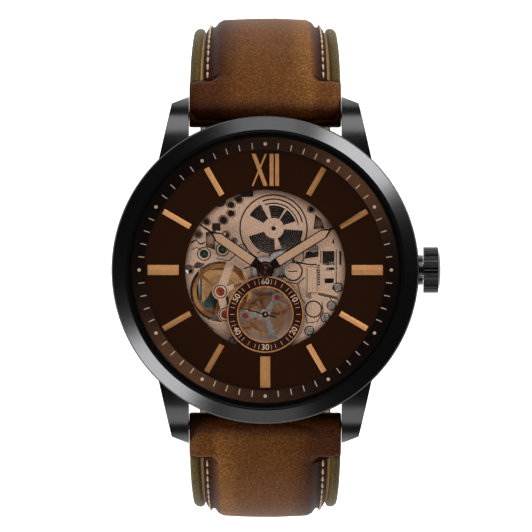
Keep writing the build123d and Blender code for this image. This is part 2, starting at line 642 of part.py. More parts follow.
def crown_wheel():
    """Spur wheel that drives the ratchet, joined by a hub to a face-toothed ring under the stem."""
    module = module_of(BARREL, CROWN_WHEEL, RATCHET_T, CROWN_WHEEL_T)
    body = gear(CROWN_WHEEL_T, module, *RATCHET_LEVEL, CROWN_WHEEL, bearing(CROWN_WHEEL, BARREL), True)
    body += disc(0.85, 3.3, 4.9, CROWN_WHEEL) + disc(2.45, 4.75, 5.05, CROWN_WHEEL)
    for number in range(CONTRATE_T):
        tooth = Rot(Z=number * 360 / CONTRATE_T) * slab(2.05, 2.42, -0.09, 0.09, 5.0, 5.25)
        body += Pos(*CROWN_WHEEL, 0) * tooth
    return body


def winding_pinion():
    body = gear(WINDING_T, 0.14, 0, 0.85, CENTRE, 0, True) - disc(0.43, -1, 1)
    return Pos(9.1, 0, STEM_Z) * Rot(Y=90) * body


def clutch():
    """Sliding pinion with a square hole and a groove for the yoke."""
    body = rod_x(0.95, 7.2, 8.7) - (rod_x(1.1, 7.8, 8.2) - rod_x(0.65, 7.7, 8.3))
    return body - Pos(0, 0, STEM_Z) * slab(7, 9, -0.3, 0.3, -0.3, 0.3)


def setting_lever():
    pin = (10.65, -0.35)
    return strip(LEVER, pin, 0.7, *LEVER_LEVEL) + disc(0.3, 5.4, 6.9, LEVER) + disc(0.12, 5.4, 6.3, pin)


def click():
    """Pawl that lies against the ratchet teeth."""
    tip = (-4.1, 5.0)
    return strip(CLICK, tip, 0.5, *CLICK_LEVEL) - disc(0.3, 3, 4, CLICK)


def pallet_bridge():
    """Small bridge on two posts over the pallet pivot."""
    low, high = PALLET_BRIDGE_LEVEL
    first, last = PALLET_POSTS
    body = strip(first, last, 1.0, low, high) + strip(first, PALLET, 1.0, low, high)
    for at in PALLET_POSTS:
        body += disc(0.4, high - 0.1, PLATE_LOW, at)
    return body - disc(JEWEL_HOLE_R, low - 1, high + 1, PALLET)


def seconds_bridge():
    """Three-armed bridge inside the small seconds ring."""
    low, high = SECONDS_BRIDGE_LEVEL
    body = disc(0.75, low, high, FOURTH)
    for end in (THIRD, ESCAPE, ARM_TIP):
        body += strip(FOURTH, end, 0.8, low, high) + disc(0.8, low, high, end)
    body = body & disc(SUBDIAL_HOLE_R + 0.15, low - 1, high + 1, SUBDIAL)
    for end in (THIRD, ESCAPE):
        body -= disc(SMALL_JEWEL_R, low - 1, high + 1, end)
    return body - disc(ARBOR_R + RUNNING, low - 1, high + 1, FOURTH)


def front_jewels():
    low, high = SECONDS_BRIDGE_LEVEL
    large = [jewel(at, 6.9, 7.6, JEWEL_R) for at in PLATE_JEWELS]
    return large + [jewel(at, low + 0.05, high, SMALL_JEWEL_R) for at in (THIRD, ESCAPE)]


def back_jewels():
    train = [jewel(at, 3.6, 4.1, 0.5) for at in (CENTRE, THIRD, FOURTH, ESCAPE)]
    return train + [jewel(BALANCE, 3.6, COCK_TOP, 0.5)]


def automatic_bridge():
    """Three arms that carry the rotor bearing and the reversing wheel."""
    low, high = AUTOMATIC_LEVEL
    feet = ((-6.5, 2.6), (4.5, -6.0))
    body = strip(CENTRE, REVERSER, 1.8, low, high)
    for at in feet:
        body += strip(CENTRE, at, 2.6, low, high) + disc(0.6, high - 0.05, BRIDGE_LOW, at)
    return body - disc(0.35, 2, 4, REVERSER) - disc(0.5, 2, 4)


def rotor():
    """Half-disc weight with a thin web, a heavy rim and a toothed hub."""
    half = slab(-13, 13, 0, 13, 1, 3)
    web = (disc(12.0, 2.2, 2.45) & half) + disc(2.1, 2.2, 2.5)
    for start in (12, 66, 120):
        web -= sector(CENTRE, start, 46, 4.5, 9.6, 2, 3)
    rim = ring(12.6, 10.4, 1.85, 2.65) & half
    teeth = gear(ROTOR_T, module_of(CENTRE, REVERSER, ROTOR_T, REVERSER_T), 2.5, 2.7, CENTRE,
                 bearing(CENTRE, REVERSER))
    return web + rim + teeth - disc(0.95, 1, 4)


def reverser_wheel():
    body = gear(REVERSER_T, module_of(CENTRE, REVERSER, ROTOR_T, REVERSER_T), 2.52, 2.68, REVERSER,
                bearing(REVERSER, CENTRE), True)
    return body + disc(0.3, 2.65, 3.0, REVERSER)


def arc_face(centre, start, end, inner, outer):
    """Curved band in the Y-Z plane; inner and outer give a radius at each end."""
    def at(angle, radius):
        return (centre[0] + radius * cos(radians(angle)), centre[1] + radius * sin(radians(angle)))

    middle = (start + end) / 2
    corners = [at(start, inner[0]), at(start, outer[0]), at(end, outer[1]), at(end, inner[1])]
    edges = [Line(corners[0], corners[1]),
             ThreePointArc(corners[1], at(middle, sum(outer) / 2), corners[2]),
             Line(corners[2], corners[3]),
             ThreePointArc(corners[3], at(middle, sum(inner) / 2), corners[0])]
    return make_face(Curve() + edges)


def band(centre, start, end, inner, outer, half):
    return extrude(Plane.YZ * arc_face(centre, start, end, inner, outer), half, both=True)


def strap_outline():
    """The strap narrows from the lugs to the buckle."""
    right = [(STRAP_HALF, 8), (STRAP_HALF, -2), (STRAP_THIN_HALF, -34), (STRAP_THIN_HALF, -60)]
    corners = right + [(-x, z) for x, z in reversed(right)]
    return extrude(make_face(Plane.XZ * Polyline(*corners, close=True)), 60, both=True)


def strap_buckle_half():
    centre = (FLAT_Y, LOOP_Z)
    lug = degrees(atan2(BAR_Z - LOOP_Z, BAR_Y - FLAT_Y))
    inner = (LOOP_R - THIN, LOOP_R - INNER_PAD)
    outer = (LOOP_R + THIN, LOOP_R + PAD)
    body = band(centre, -90, lug, inner, outer, STRAP_HALF)
    body += rod_x(LUG_FOLD_R, -STRAP_HALF, STRAP_HALF, BAR_Y, BAR_Z)
    body += slab(-STRAP_HALF, STRAP_HALF, 0.6, FLAT_Y, BUCKLE_Z - THIN, BUCKLE_Z + THIN)
    body += rod_x(BUCKLE_EYE_R, -STRAP_HALF, STRAP_HALF, 0, BUCKLE_Z)
    body -= slab(-1.2, 1.2, -3, 3.0, BUCKLE_Z - 2, BUCKLE_Z + 2)
    body -= rod_x(BAR_R + RUNNING, -12, 12, BAR_Y, BAR_Z) + rod_x(BAR_R + RUNNING, -12, 12, 0, BUCKLE_Z)
    return body & strap_outline()


def strap_tail_half():
    """The half with the holes; unfastened, its end lies inside the buckle half."""
    across = TAIL_LOOP_Y - BAR_Y
    drop = BAR_Z - TAIL_Z
    radius = across + drop - sqrt(2 * across * drop)
    centre = (radius - TAIL_LOOP_Y, TAIL_Z + radius)
    lug = degrees(atan2(BAR_Z - centre[1], -BAR_Y - centre[0]))
    inner = (radius - THIN, radius - INNER_PAD)
    outer = (radius + THIN, radius + PAD)
    body = band(centre, 270, lug, inner, outer, STRAP_HALF)
    body += rod_x(LUG_FOLD_R, -STRAP_HALF, STRAP_HALF, -BAR_Y, BAR_Z)
    tip_y = TAIL_END - STRAP_THIN_HALF
    body += slab(-STRAP_HALF, STRAP_HALF, centre[0], tip_y, TAIL_Z - THIN, TAIL_Z + THIN)
    body += disc(STRAP_THIN_HALF, TAIL_Z - THIN, TAIL_Z + THIN, (0, tip_y))
    body -= rod_x(BAR_R + RUNNING, -12, 12, -BAR_Y, BAR_Z)
    for number in range(3):
        body -= disc(HOLE_R, TAIL_Z - 2, TAIL_Z + 2, (0, FIRST_HOLE_Y - number * HOLE_PITCH))
    hole = Pos(0, 0, -radius) * Cylinder(HOLE_R, 6)
    for number in range(3, 5):
        past_straight = number * HOLE_PITCH - (FIRST_HOLE_Y - centre[0])
        body -= Pos(0, *centre) * Rot(X=-degrees(past_straight / radius)) * hole
    return body & strap_outline()


def keeper_fixed():
    outer = slab(-11.6, 11.6, 4.6, 8.6, FLOOR_Z, BUCKLE_Z + THIN + 1.1)
    hole = slab(-10.2, 10.2, 4, 9, FASTENED_Z - THIN - KEEPER_GAP, BUCKLE_Z + THIN + 0.05)
    return outer - hole


def keeper_free():
    low, high = LOOP_R - THIN - KEEPER_GAP, LOOP_Z - FASTENED_Z + THIN + KEEPER_GAP
    centre = (FLAT_Y, LOOP_Z)
    outer = band(centre, -80, -71, (low - 1.0,) * 2, (high + 1.4,) * 2, 11.8)
    return outer - band(centre, -84, -67, (low,) * 2, (high,) * 2, 10.35)


def buckle_frame():
    """Two side arms hinged on the buckle bar and a cross bar with a rest for the tongue."""
    underside = [(1.6, BUCKLE_Z - 0.9), (0.2, BUCKLE_Z - 2.2), (-7.0, FLOOR_Z), (-9.6, FLOOR_Z)]
    upper_side = [(-9.8, FLOOR_Z + 1.4), (-1.2, BUCKLE_Z + 1.4), (0.8, BUCKLE_Z + 1.4)]
    arm = side_plate([(1.6, BUCKLE_Z + 0.7), *underside, *upper_side], 0.75)
    middle = (BUCKLE_HALF + BUCKLE_OUT) / 2
    bar = slab(-BUCKLE_OUT, BUCKLE_OUT, -9.6, -7.6, FLOOR_Z, FLOOR_Z + 1.5)
    rest = slab(-0.9, 0.9, -10, -7, FLOOR_Z - 1, FLOOR_Z + 0.98)
    body = Pos(middle, 0, 0) * arm + Pos(-middle, 0, 0) * arm + bar - rest
    return body - rod_x(BAR_R + RUNNING, -12, 12, 0, BUCKLE_Z)


def buckle_tongue():
    eye = rod_x(BUCKLE_EYE_R, -0.7, 0.7, 0, BUCKLE_Z)
    lever = side_plate([(-0.3, BUCKLE_Z - 0.6), (-0.9, BUCKLE_Z + 0.8), (-2.9, BUCKLE_Z - 0.4),
                        (-4.4, FLOOR_Z + 0.95), (-9.4, FLOOR_Z + 0.95), (-9.6, FLOOR_Z + 0.05),
                        (-5.0, FLOOR_Z + 0.05), (-4.4, FLOOR_Z + 0.5), (-2.9, BUCKLE_Z - 1.8)], 0.6)
    return eye + lever - rod_x(BAR_R + RUNNING, -2, 2, 0, BUCKLE_Z)


def lug_bar(side):
    body = rod_x(BAR_R, -10.95, 10.95, side * BAR_Y, BAR_Z)
    return body + rod_x(BAR_PIVOT_R, -BAR_TIP, BAR_TIP, side * BAR_Y, BAR_Z)


# Case
save("mid_case", mid_case())
save("bezel", bezel())
save("crystal", crystal())
save("crystal_gasket", ring(GROOVE_R, SEAT_R, 10.0, 11.15))
save("case_back_ring", case_back())
save("case_back_glass", disc(BACK_GLASS_R, 0.42, 1.4))
save("case_back_gasket", turned((17.7, 1.45), (18.0, 1.45), (18.0, 1.85), (17.7, 1.85)))
save("crown_tube", rod_x(1.3, 17.8, 22.05) + rod_x(2.15, 22.0, 22.55) - rod_x(0.95, 17, 23))
save("movement_ring", ring(17.5, 13.05, 5.0, 8.25) - slab(12, 18, -1.4, 1.4, 4, 9))

# Dial
save("dial", dial())
save("chapter_ring", turned((17.2, DIAL_TOP), (RING_R, DIAL_TOP), (RING_R, 9.9), (18.95, 9.9), (17.2, 8.85)))
save("subdial_ring", subdial_ring())
save("subdial_rims", *subdial_rims())
save("hour_markers", *[hour_marker(hour) for hour in range(1, 12)])
save("numeral_twelve", *numeral_twelve())

# Hands and motion works
save("hour_hand", hand(HOUR_ANGLE, *HOUR_HAND_LEVEL, 1.0, 0.72, 9.1, 11.4, 0.575))
save("minute_hand", hand(MINUTE_ANGLE, *MINUTE_HAND_LEVEL, 1.0, 0.42, 10.7, 16.0, 0.575))
save("seconds_hand", seconds_hand())
save("cannon_pinion", cannon_pinion())
save("hour_wheel", hour_wheel())
save("minute_wheel", minute_wheel())

# Going train and escapement
save("centre_wheel", centre_wheel())
save("third_wheel", third_wheel())
save("fourth_wheel", fourth_wheel())
save("escape_wheel", escape_wheel())
save("pallet_fork", pallet_fork())
save("balance_wheel", balance_wheel())
save("hairspring", spiral(BALANCE, 0.45, 2.4, 9, 0.06, *HAIRSPRING_LEVEL))

# Barrel and winding
save("barrel_drum", barrel_drum())
save("mainspring", spiral(BARREL, 0.65, 4.5, 12, 0.13, *MAINSPRING_LEVEL))
save("barrel_arbor", barrel_arbor())
save("ratchet_wheel", ratchet_wheel())
save("crown_wheel", crown_wheel())
save("click", click())
save("winding_pinion", winding_pinion())
save("clutch", clutch())
save("winding_stem", stem())
save("crown", crown())
save("crown_gasket", rod_x(0.92, 20.85, 21.35) - rod_x(0.57, 20, 22))
save("setting_lever", setting_lever())

# Plates and bridges
save("main_plate", main_plate())
save("train_bridge", bridge(TRAIN_OUTLINE, [(at, 0.5) for at in (CENTRE, THIRD, FOURTH, ESCAPE)]))
save("barrel_bridge", bridge(BARREL_OUTLINE, [(BARREL, 0.63), (CROWN_WHEEL, 0.92), (CLICK, 0.3)]))
save("balance_cock", bridge(COCK_OUTLINE, [(BALANCE, 0.5)], COCK_TOP))
save("pallet_bridge", pallet_bridge())
save("seconds_bridge", seconds_bridge())
save("jewels", *front_jewels(), *back_jewels())
save("movement_screws", *[back_screw(at) for at in POSTS],
     *[front_screw(number, at) for number, at in enumerate(PLATE_SCREWS)])

# Automatic winding
save("automatic_bridge", automatic_bridge())
save("rotor_bearing", disc(0.9, 1.9, 2.8) + disc(1.3, 1.75, 1.95) + disc(0.5, 2.7, 3.05))
save("rotor", rotor())
save("reverser_wheel", reverser_wheel())

# Strap and buckle
save("lug_spring_bars", lug_bar(1), lug_bar(-1))
save("strap_buckle_half", strap_buckle_half())
save("strap_tail_half", strap_tail_half())
save("keeper_fixed", keeper_fixed())
save("keeper_free", keeper_free())
save("buckle_spring_bar", rod_x(BAR_R, -BUCKLE_OUT, BUCKLE_OUT, 0, BUCKLE_Z))
save("buckle_frame", buckle_frame())
save("buckle_tongue", buckle_tongue())
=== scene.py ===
from math import atan2, cos, pi, radians, sin, sqrt

import bmesh
import bpy
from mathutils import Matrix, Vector, noise


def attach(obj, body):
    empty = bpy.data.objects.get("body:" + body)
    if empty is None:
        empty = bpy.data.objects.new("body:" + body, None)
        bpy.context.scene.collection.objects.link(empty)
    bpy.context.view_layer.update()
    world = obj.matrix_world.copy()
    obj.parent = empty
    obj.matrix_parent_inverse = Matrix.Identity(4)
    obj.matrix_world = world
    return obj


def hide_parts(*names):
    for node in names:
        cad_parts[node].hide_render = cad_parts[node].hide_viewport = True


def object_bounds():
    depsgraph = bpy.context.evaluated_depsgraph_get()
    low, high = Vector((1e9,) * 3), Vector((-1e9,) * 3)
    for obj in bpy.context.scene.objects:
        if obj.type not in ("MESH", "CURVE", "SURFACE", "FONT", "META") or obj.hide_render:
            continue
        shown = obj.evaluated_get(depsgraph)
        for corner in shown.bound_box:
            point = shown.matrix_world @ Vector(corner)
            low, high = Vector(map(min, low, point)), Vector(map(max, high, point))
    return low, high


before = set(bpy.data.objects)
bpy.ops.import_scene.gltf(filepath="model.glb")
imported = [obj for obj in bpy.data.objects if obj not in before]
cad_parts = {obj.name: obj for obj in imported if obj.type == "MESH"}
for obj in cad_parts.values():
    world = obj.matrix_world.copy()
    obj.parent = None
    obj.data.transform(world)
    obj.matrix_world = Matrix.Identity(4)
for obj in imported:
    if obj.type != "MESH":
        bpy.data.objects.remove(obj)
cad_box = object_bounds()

# Looks of a skeleton wristwatch on a leather strap: materials for the CAD nodes, and new pieces for the
# leather, the stitching, the print and the luminous fills. Lengths are in millimetres, as in the CAD frame,
# except those of lights, camera and shaders, which are in metres.

MM = 0.001

# Strap and loop
BAR_Y = 22.3
BAR_Z = 3.2
FLAT_Y = 9.2
LOOP_Z = -19.0
LOOP_R = 26.4
TAIL_LOOP_Y = 34.9
HOLE_PITCH = 6.5
HOLE_R = 0.85
BAR_HOLE_R = 0.8
EYE_R = 1.35
FLOOR_Z = -51.0
KEEPER_GAP = 0.15
THIN = 1.1
PAD = 2.1
LAYER_GAP = 0.3
BUCKLE_Z = LOOP_Z - LOOP_R
TAIL_RISE = 3.8
TAIL_Z = BUCKLE_Z + TAIL_RISE
TAIL_END = 12.0
FIRST_HOLE_Y = 4.0
STRAIGHT_HOLES = 3
HOLES = 5
FASTENED_Z = BUCKLE_Z - EYE_R - LAYER_GAP - THIN

# Half widths of the leather at the lugs and at the buckle
WIDE = 10.92
NARROW = 9.95

# Dial and hands
SUBDIAL = (0.0, -6.35)
DIAL_TOP = 8.7
SUBDIAL_TOP = DIAL_TOP - 0.05
HOUR_ANGLE = 304.9
MINUTE_ANGLE = 58.2
PRINT = 0.015


# ---------------------------------------------------------------- mesh helpers

def new_mesh(name, verts, faces, smooth=True):
    mesh = bpy.data.meshes.new(name)
    mesh.from_pydata([Vector(v) * MM for v in verts], [], faces)
    mesh.validate()
    obj = bpy.data.objects.new(name, mesh)
    bpy.context.scene.collection.objects.link(obj)
    work = bmesh.new()
    work.from_mesh(mesh)
    bmesh.ops.recalc_face_normals(work, faces=work.faces)
    work.to_mesh(mesh)
    work.free()
    for face in mesh.polygons:
        face.use_smooth = smooth
    return obj


def tube(rings):
    """Verts and faces of an open tube through equal rings of points."""
    verts = [point for ring in rings for point in ring]
    width = len(rings[0])
    faces = []
    for i in range(len(rings) - 1):
        for j in range(width):
            k = (j + 1) % width
            faces.append((i * width + j, i * width + k, (i + 1) * width + k, (i + 1) * width + j))
    return verts, faces


def capped(rings):
    """A tube through rings of points, closed with a cap at each end."""
    verts, faces = tube(rings)
    width = len(rings[0])
    faces.append(tuple(range(width))[::-1])
    faces.append(tuple(range((len(rings) - 1) * width, len(rings) * width)))
    return verts, faces


def merged(parts):
    """Several (verts, faces) lists as one."""
    verts, faces = [], []
    for part_verts, part_faces in parts:
        start = len(verts)
        verts += part_verts
        faces += [tuple(i + start for i in face) for face in part_faces]
    return verts, faces


def turned_about(part, angle, at=(0, 0)):
    """Moves a part drawn at twelve o'clock to a clockwise angle about an axis."""
    verts, faces = part
    c, s = cos(radians(angle)), sin(radians(angle))
    return [(at[0] + x * c + y * s, at[1] - x * s + y * c, z) for x, y, z in verts], faces


# ---------------------------------------------------------------- material helpers

def material(name, color, metallic, roughness, **sockets):
    mat = bpy.data.materials.new(name)
    mat.use_nodes = True
    shader = mat.node_tree.nodes["Principled BSDF"]
    shader.inputs["Base Color"].default_value = (*color, 1)
    shader.inputs["Metallic"].default_value = metallic
    shader.inputs["Roughness"].default_value = roughness
    for socket, value in sockets.items():
        shader.inputs[socket.replace("_", " ")].default_value = value
    return mat


def node(mat, kind, **values):
    made = mat.node_tree.nodes.new(kind)
    for key, value in values.items():
        if key in made.inputs:
            made.inputs[key].default_value = value
        else:
            setattr(made, key, value)
    return made


def wire(mat, start, end):
    mat.node_tree.links.new(start, end)


def shader_of(mat):
    return mat.node_tree.nodes["Principled BSDF"]


def scaled_coords(mat, scale):
    place = node(mat, "ShaderNodeTexCoord")
    mapping = node(mat, "ShaderNodeMapping", Scale=scale)
    wire(mat, place.outputs["Object"], mapping.inputs["Vector"])
    return mapping.outputs["Vector"]


def ramp(mat, source, stops):
    made = node(mat, "ShaderNodeValToRGB")
    elements = made.color_ramp.elements
    while len(elements) < len(stops):
        elements.new(0.5)
    for element, (place, color) in zip(elements, stops):
        element.position = place
        element.color = (*color, 1)
    wire(mat, source, made.inputs["Fac"])
    return made.outputs["Color"]


def add_bump(mat, source, distance, strength=0.5):
    bump = node(mat, "ShaderNodeBump", Distance=distance, Strength=strength)
    wire(mat, source, bump.inputs["Height"])
    wire(mat, bump.outputs["Normal"], shader_of(mat).inputs["Normal"])


def noisy(mat, scale, detail, stretch=(1, 1, 1)):
    tex = node(mat, "ShaderNodeTexNoise", Scale=scale, Detail=detail)
    wire(mat, scaled_coords(mat, stretch), tex.inputs["Vector"])
    return tex.outputs["Fac"]


def metal(name, dark, light, roughness, grain=2500, stretch=(1, 1, 1), spread=0.1, bump=0.000004):
    """Metal with a fine grain in its colour, gloss and surface."""
    mat = material(name, light, 1.0, roughness)
    fac = noisy(mat, grain, 5, stretch)
    wire(mat, ramp(mat, fac, ((0.3, dark), (0.7, light))), shader_of(mat).inputs["Base Color"])
    span = node(mat, "ShaderNodeMapRange")
    span.inputs["To Min"].default_value = max(0.03, roughness - spread)
    span.inputs["To Max"].default_value = roughness + spread
    wire(mat, fac, span.inputs["Value"])
    wire(mat, span.outputs["Result"], shader_of(mat).inputs["Roughness"])
    add_bump(mat, fac, bump, 0.4)
    return mat


def mixed(mat, first, second, share, blend="MIX"):
    """Two colours blended by a fixed share, or by the value from a socket."""
    mix = node(mat, "ShaderNodeMix", data_type="RGBA", blend_type=blend)

    # A colour mix has its factor in socket 0, its colours in 6 and 7, and its result in 2
    if isinstance(share, float):
        mix.inputs[0].default_value = share
    else:
        wire(mat, share, mix.inputs[0])
    wire(mat, first, mix.inputs[6])
    wire(mat, second, mix.inputs[7])
    return mix.outputs[2]


def multiply(mat, first, second):
    return mixed(mat, first, second, 1.0, "MULTIPLY")


def compared(mat, socket, operation, limit):
    """One where a value lies above or below a limit."""
    test = node(mat, "ShaderNodeMath", operation=operation)
    test.inputs[1].default_value = limit
    wire(mat, socket, test.inputs[0])
    return test.outputs["Value"]


def combined(mat, operation, first, second):
    made = node(mat, "ShaderNodeMath", operation=operation)
    wire(mat, first, made.inputs[0])
    wire(mat, second, made.inputs[1])
    return made.outputs["Value"]


def tinted(color, share):
    return tuple(min(1, channel * share) for channel in color)


SPECK_SHARE = 0.62
PORE_DEPTH = 0.00005


def leather(name, dark, mid, light, roughness=0.55):
    """Oiled leather: fine speckle over soft clouds, pores, its colour scaled by the painted light and shade
    in the shade attribute.
    """
    mat = material(name, mid, 0.0, roughness, Specular_IOR_Level=0.05)
    cloud = ramp(mat, noisy(mat, 420, 3), ((0.3, tinted(mid, 0.86)), (0.7, tinted(mid, 1.12))))
    speck_fac = noisy(mat, 3600, 6)
    speck = ramp(mat, speck_fac, ((0.34, dark), (0.5, mid), (0.66, light)))
    shade = node(mat, "ShaderNodeAttribute", attribute_name="shade")
    color = multiply(mat, mixed(mat, cloud, speck, SPECK_SHARE), shade.outputs["Color"])
    wire(mat, color, shader_of(mat).inputs["Base Color"])
    pores = node(mat, "ShaderNodeTexVoronoi", Scale=2600.0)
    wire(mat, scaled_coords(mat, (1, 1, 1)), pores.inputs["Vector"])
    add_bump(mat, combined(mat, "ADD", pores.outputs["Distance"], speck_fac), PORE_DEPTH)
    return mat


def darken_corners(mat, distance, floor):
    """Paints shade into the colour of the metal in gaps and beside steps, from ambient occlusion."""
    color = shader_of(mat).inputs["Base Color"]
    source = color.links[0].from_socket
    gaps = node(mat, "ShaderNodeAmbientOcclusion", Distance=distance, samples=8)
    shade_tone = ramp(mat, gaps.outputs["AO"], ((0.35, (floor, floor * 0.8, floor * 0.7)), (0.95, (1, 1, 1))))
    wire(mat, multiply(mat, source, shade_tone), color)


def soften_edges(mat, radius):
    """Rounds the light on sharp edges of the metal, as small bevels do."""
    bump = shader_of(mat).inputs["Normal"].links[0].from_node
    bevel = node(mat, "ShaderNodeBevel", Radius=radius, samples=4)
    wire(mat, bevel.outputs["Normal"], bump.inputs["Normal"])


# ---------------------------------------------------------------- materials

# Painted and plated surfaces have a finer, flatter grain than bare metal
FINE = {"grain": 9000, "bump": 0.000001}
LONG_GRAIN = (1, 6, 1)

BLACK = metal("black_case", (0.036, 0.036, 0.037), (0.045, 0.045, 0.046), 0.24, spread=0.03, **FINE)
STEEL = metal("steel", (0.36, 0.34, 0.33), (0.56, 0.53, 0.51), 0.28, 3000)
PINK_STEEL = metal("pink_steel", (0.46, 0.38, 0.34), (0.70, 0.58, 0.52), 0.32, 3000)
DARK_STEEL = metal("dark_steel", (0.014, 0.014, 0.015), (0.026, 0.026, 0.028), 0.2, 3000)
SCREW_STEEL = metal("screw_steel", (0.20, 0.18, 0.17), (0.40, 0.36, 0.33), 0.25, 3000)
PLATE = metal("plate", (0.48, 0.30, 0.20), (0.74, 0.49, 0.35), 0.32, 4200, bump=0.00001)
BRIDGE = metal("bridge", (0.40, 0.31, 0.25), (0.60, 0.48, 0.40), 0.38, 1800, LONG_GRAIN)
# A lighter copy of the bridge metal: painted light for the train bridge, deep in the window under the small
# seconds
BRIGHTENED_BRIDGE = metal("brightened_train_bridge_metal", (0.80, 0.62, 0.48), (0.98, 0.82, 0.68), 0.38, 1800, LONG_GRAIN)
GOLD = metal("gilt", (0.72, 0.34, 0.11), (0.92, 0.50, 0.20), 0.30, 2200)
ORANGE_GOLD = metal("orange_gilt", (0.78, 0.33, 0.08), (0.98, 0.50, 0.16), 0.30, 2200)
ROSE = metal("rose_plating", (0.35, 0.150, 0.044), (0.46, 0.210, 0.066), 0.55, 2600)
BLUED = metal("spring_steel", (0.10, 0.11, 0.15), (0.24, 0.25, 0.30), 0.25, 2600)
DIAL = metal("dial_brown", (0.038, 0.010, 0.001), (0.050, 0.014, 0.001), 0.42, spread=0.04, **FINE)
RING = metal("chapter_brown", (0.013, 0.006, 0.003), (0.018, 0.008, 0.004), 0.40, spread=0.04, **FINE)
HAND = metal("hand_brown", (0.030, 0.010, 0.006), (0.060, 0.022, 0.014), 0.32, 2500)
SUBRING = metal("small_ring_brown", (0.040, 0.009, 0.005), (0.052, 0.013, 0.007), 0.5, spread=0.04, **FINE)
LUME = material("lume", (0.37, 0.21, 0.12), 0.0, 0.6)
PAINT = material("print", (0.50, 0.33, 0.22), 0.0, 0.55)
SEAL = material("seal", (0.02, 0.02, 0.02), 0.0, 0.6)
HOLDER = material("holder", (0.03, 0.022, 0.018), 0.0, 0.5)
THREAD = material("thread", (0.40, 0.28, 0.17), 0.0, 0.8)
RUBY = material("ruby", (0.20, 0.02, 0.015), 0.0, 0.08, Specular_IOR_Level=0.9)
GLASS = material("crystal", (0.01, 0.012, 0.015), 0.0, 0.02, Alpha=0.06)
TOP_LEATHER = leather("top_leather", (0.030, 0.010, 0.0012), (0.080, 0.027, 0.0045), (0.17, 0.064, 0.014))
LINING = leather("lining_leather", (0.26, 0.13, 0.05), (0.36, 0.19, 0.08), (0.46, 0.26, 0.12), 0.6)
OLIVE = leather("olive_edge", (0.018, 0.011, 0.002), (0.050, 0.033, 0.006), (0.11, 0.076, 0.017), 0.5)

# The green jewels lie above the first line or left of the second one, in metres
GREEN_ABOVE = 0.001
GREEN_LEFT = -0.0072


def color_jewels():
    """Ruby for most jewels; a deep green for the three beside the balance."""
    clear = noisy(RUBY, 1500, 2)
    red = ramp(RUBY, clear, ((0.3, (0.16, 0.018, 0.010)), (0.7, (0.46, 0.07, 0.03))))
    green = ramp(RUBY, clear, ((0.3, (0.006, 0.022, 0.012)), (0.7, (0.020, 0.060, 0.034))))
    place = node(RUBY, "ShaderNodeTexCoord")
    split = node(RUBY, "ShaderNodeSeparateXYZ")
    wire(RUBY, place.outputs["Object"], split.inputs["Vector"])
    above = compared(RUBY, split.outputs["Y"], "GREATER_THAN", GREEN_ABOVE)
    outside = compared(RUBY, split.outputs["X"], "LESS_THAN", GREEN_LEFT)
    either = combined(RUBY, "MAXIMUM", above, outside)
    wire(RUBY, mixed(RUBY, red, green, either), shader_of(RUBY).inputs["Base Color"])


def finish_detail():
    """Grain for the plainer materials."""
    for mat, scale, depth in ((LUME, 5200, 0.00002), (PAINT, 6000, 0.000005), (SEAL, 2500, 0.00002),
                              (HOLDER, 2500, 0.00002), (THREAD, 9000, 0.00003)):
        fac = noisy(mat, scale, 4)
        base = shader_of(mat).inputs["Base Color"].default_value[:3]
        stops = ((0.3, tinted(base, 0.8)), (0.7, tinted(base, 1.12)))
        wire(mat, ramp(mat, fac, stops), shader_of(mat).inputs["Base Color"])
        add_bump(mat, fac, depth)
    color_jewels()


# Reach in metres of the painted shade in corners, and how dark it gets
CORNER_SHADE = {PLATE: (0.0009, 0.08), BRIDGE: (0.0009, 0.12), BRIGHTENED_BRIDGE: (0.0005, 0.6), GOLD: (0.0006, 0.2)}
SOFT_EDGED = (PLATE, ROSE, STEEL, PINK_STEEL, SCREW_STEEL, GOLD, ORANGE_GOLD)
EDGE_RADIUS = 0.00009

# Share of mirror-like metal in the satin surfaces
SATIN = {PLATE: 0.4, BRIDGE: 0.35, BRIGHTENED_BRIDGE: 0.3, GOLD: 0.45, ORANGE_GOLD: 0.4, PINK_STEEL: 0.4,
         STEEL: 0.5, SCREW_STEEL: 0.5, ROSE: 0.4, BLUED: 0.5}


# Painted light: a faint glow in a metal that is no lamp
def glow_faintly(mat, color, strength):
    shader_of(mat).inputs["Emission Color"].default_value = (*color, 1)
    shader_of(mat).inputs["Emission Strength"].default_value = strength


def finish_metals():
    # Painted shade in the corners of the plate, bridges and gilt wheels, a painted glow on the train bridge,
    # then softened edges and satin shares
    for mat, (distance, floor) in CORNER_SHADE.items():
        darken_corners(mat, distance, floor)
    # Painted glow on the train bridge, to lighten it under the dial
    glow_faintly(BRIGHTENED_BRIDGE, (1.0, 0.66, 0.46), 0.06)
    for mat in SOFT_EDGED:
        soften_edges(mat, EDGE_RADIUS)
    for mat, share in SATIN.items():
        shader_of(mat).inputs["Metallic"].default_value = share


finish_detail()
finish_metals()

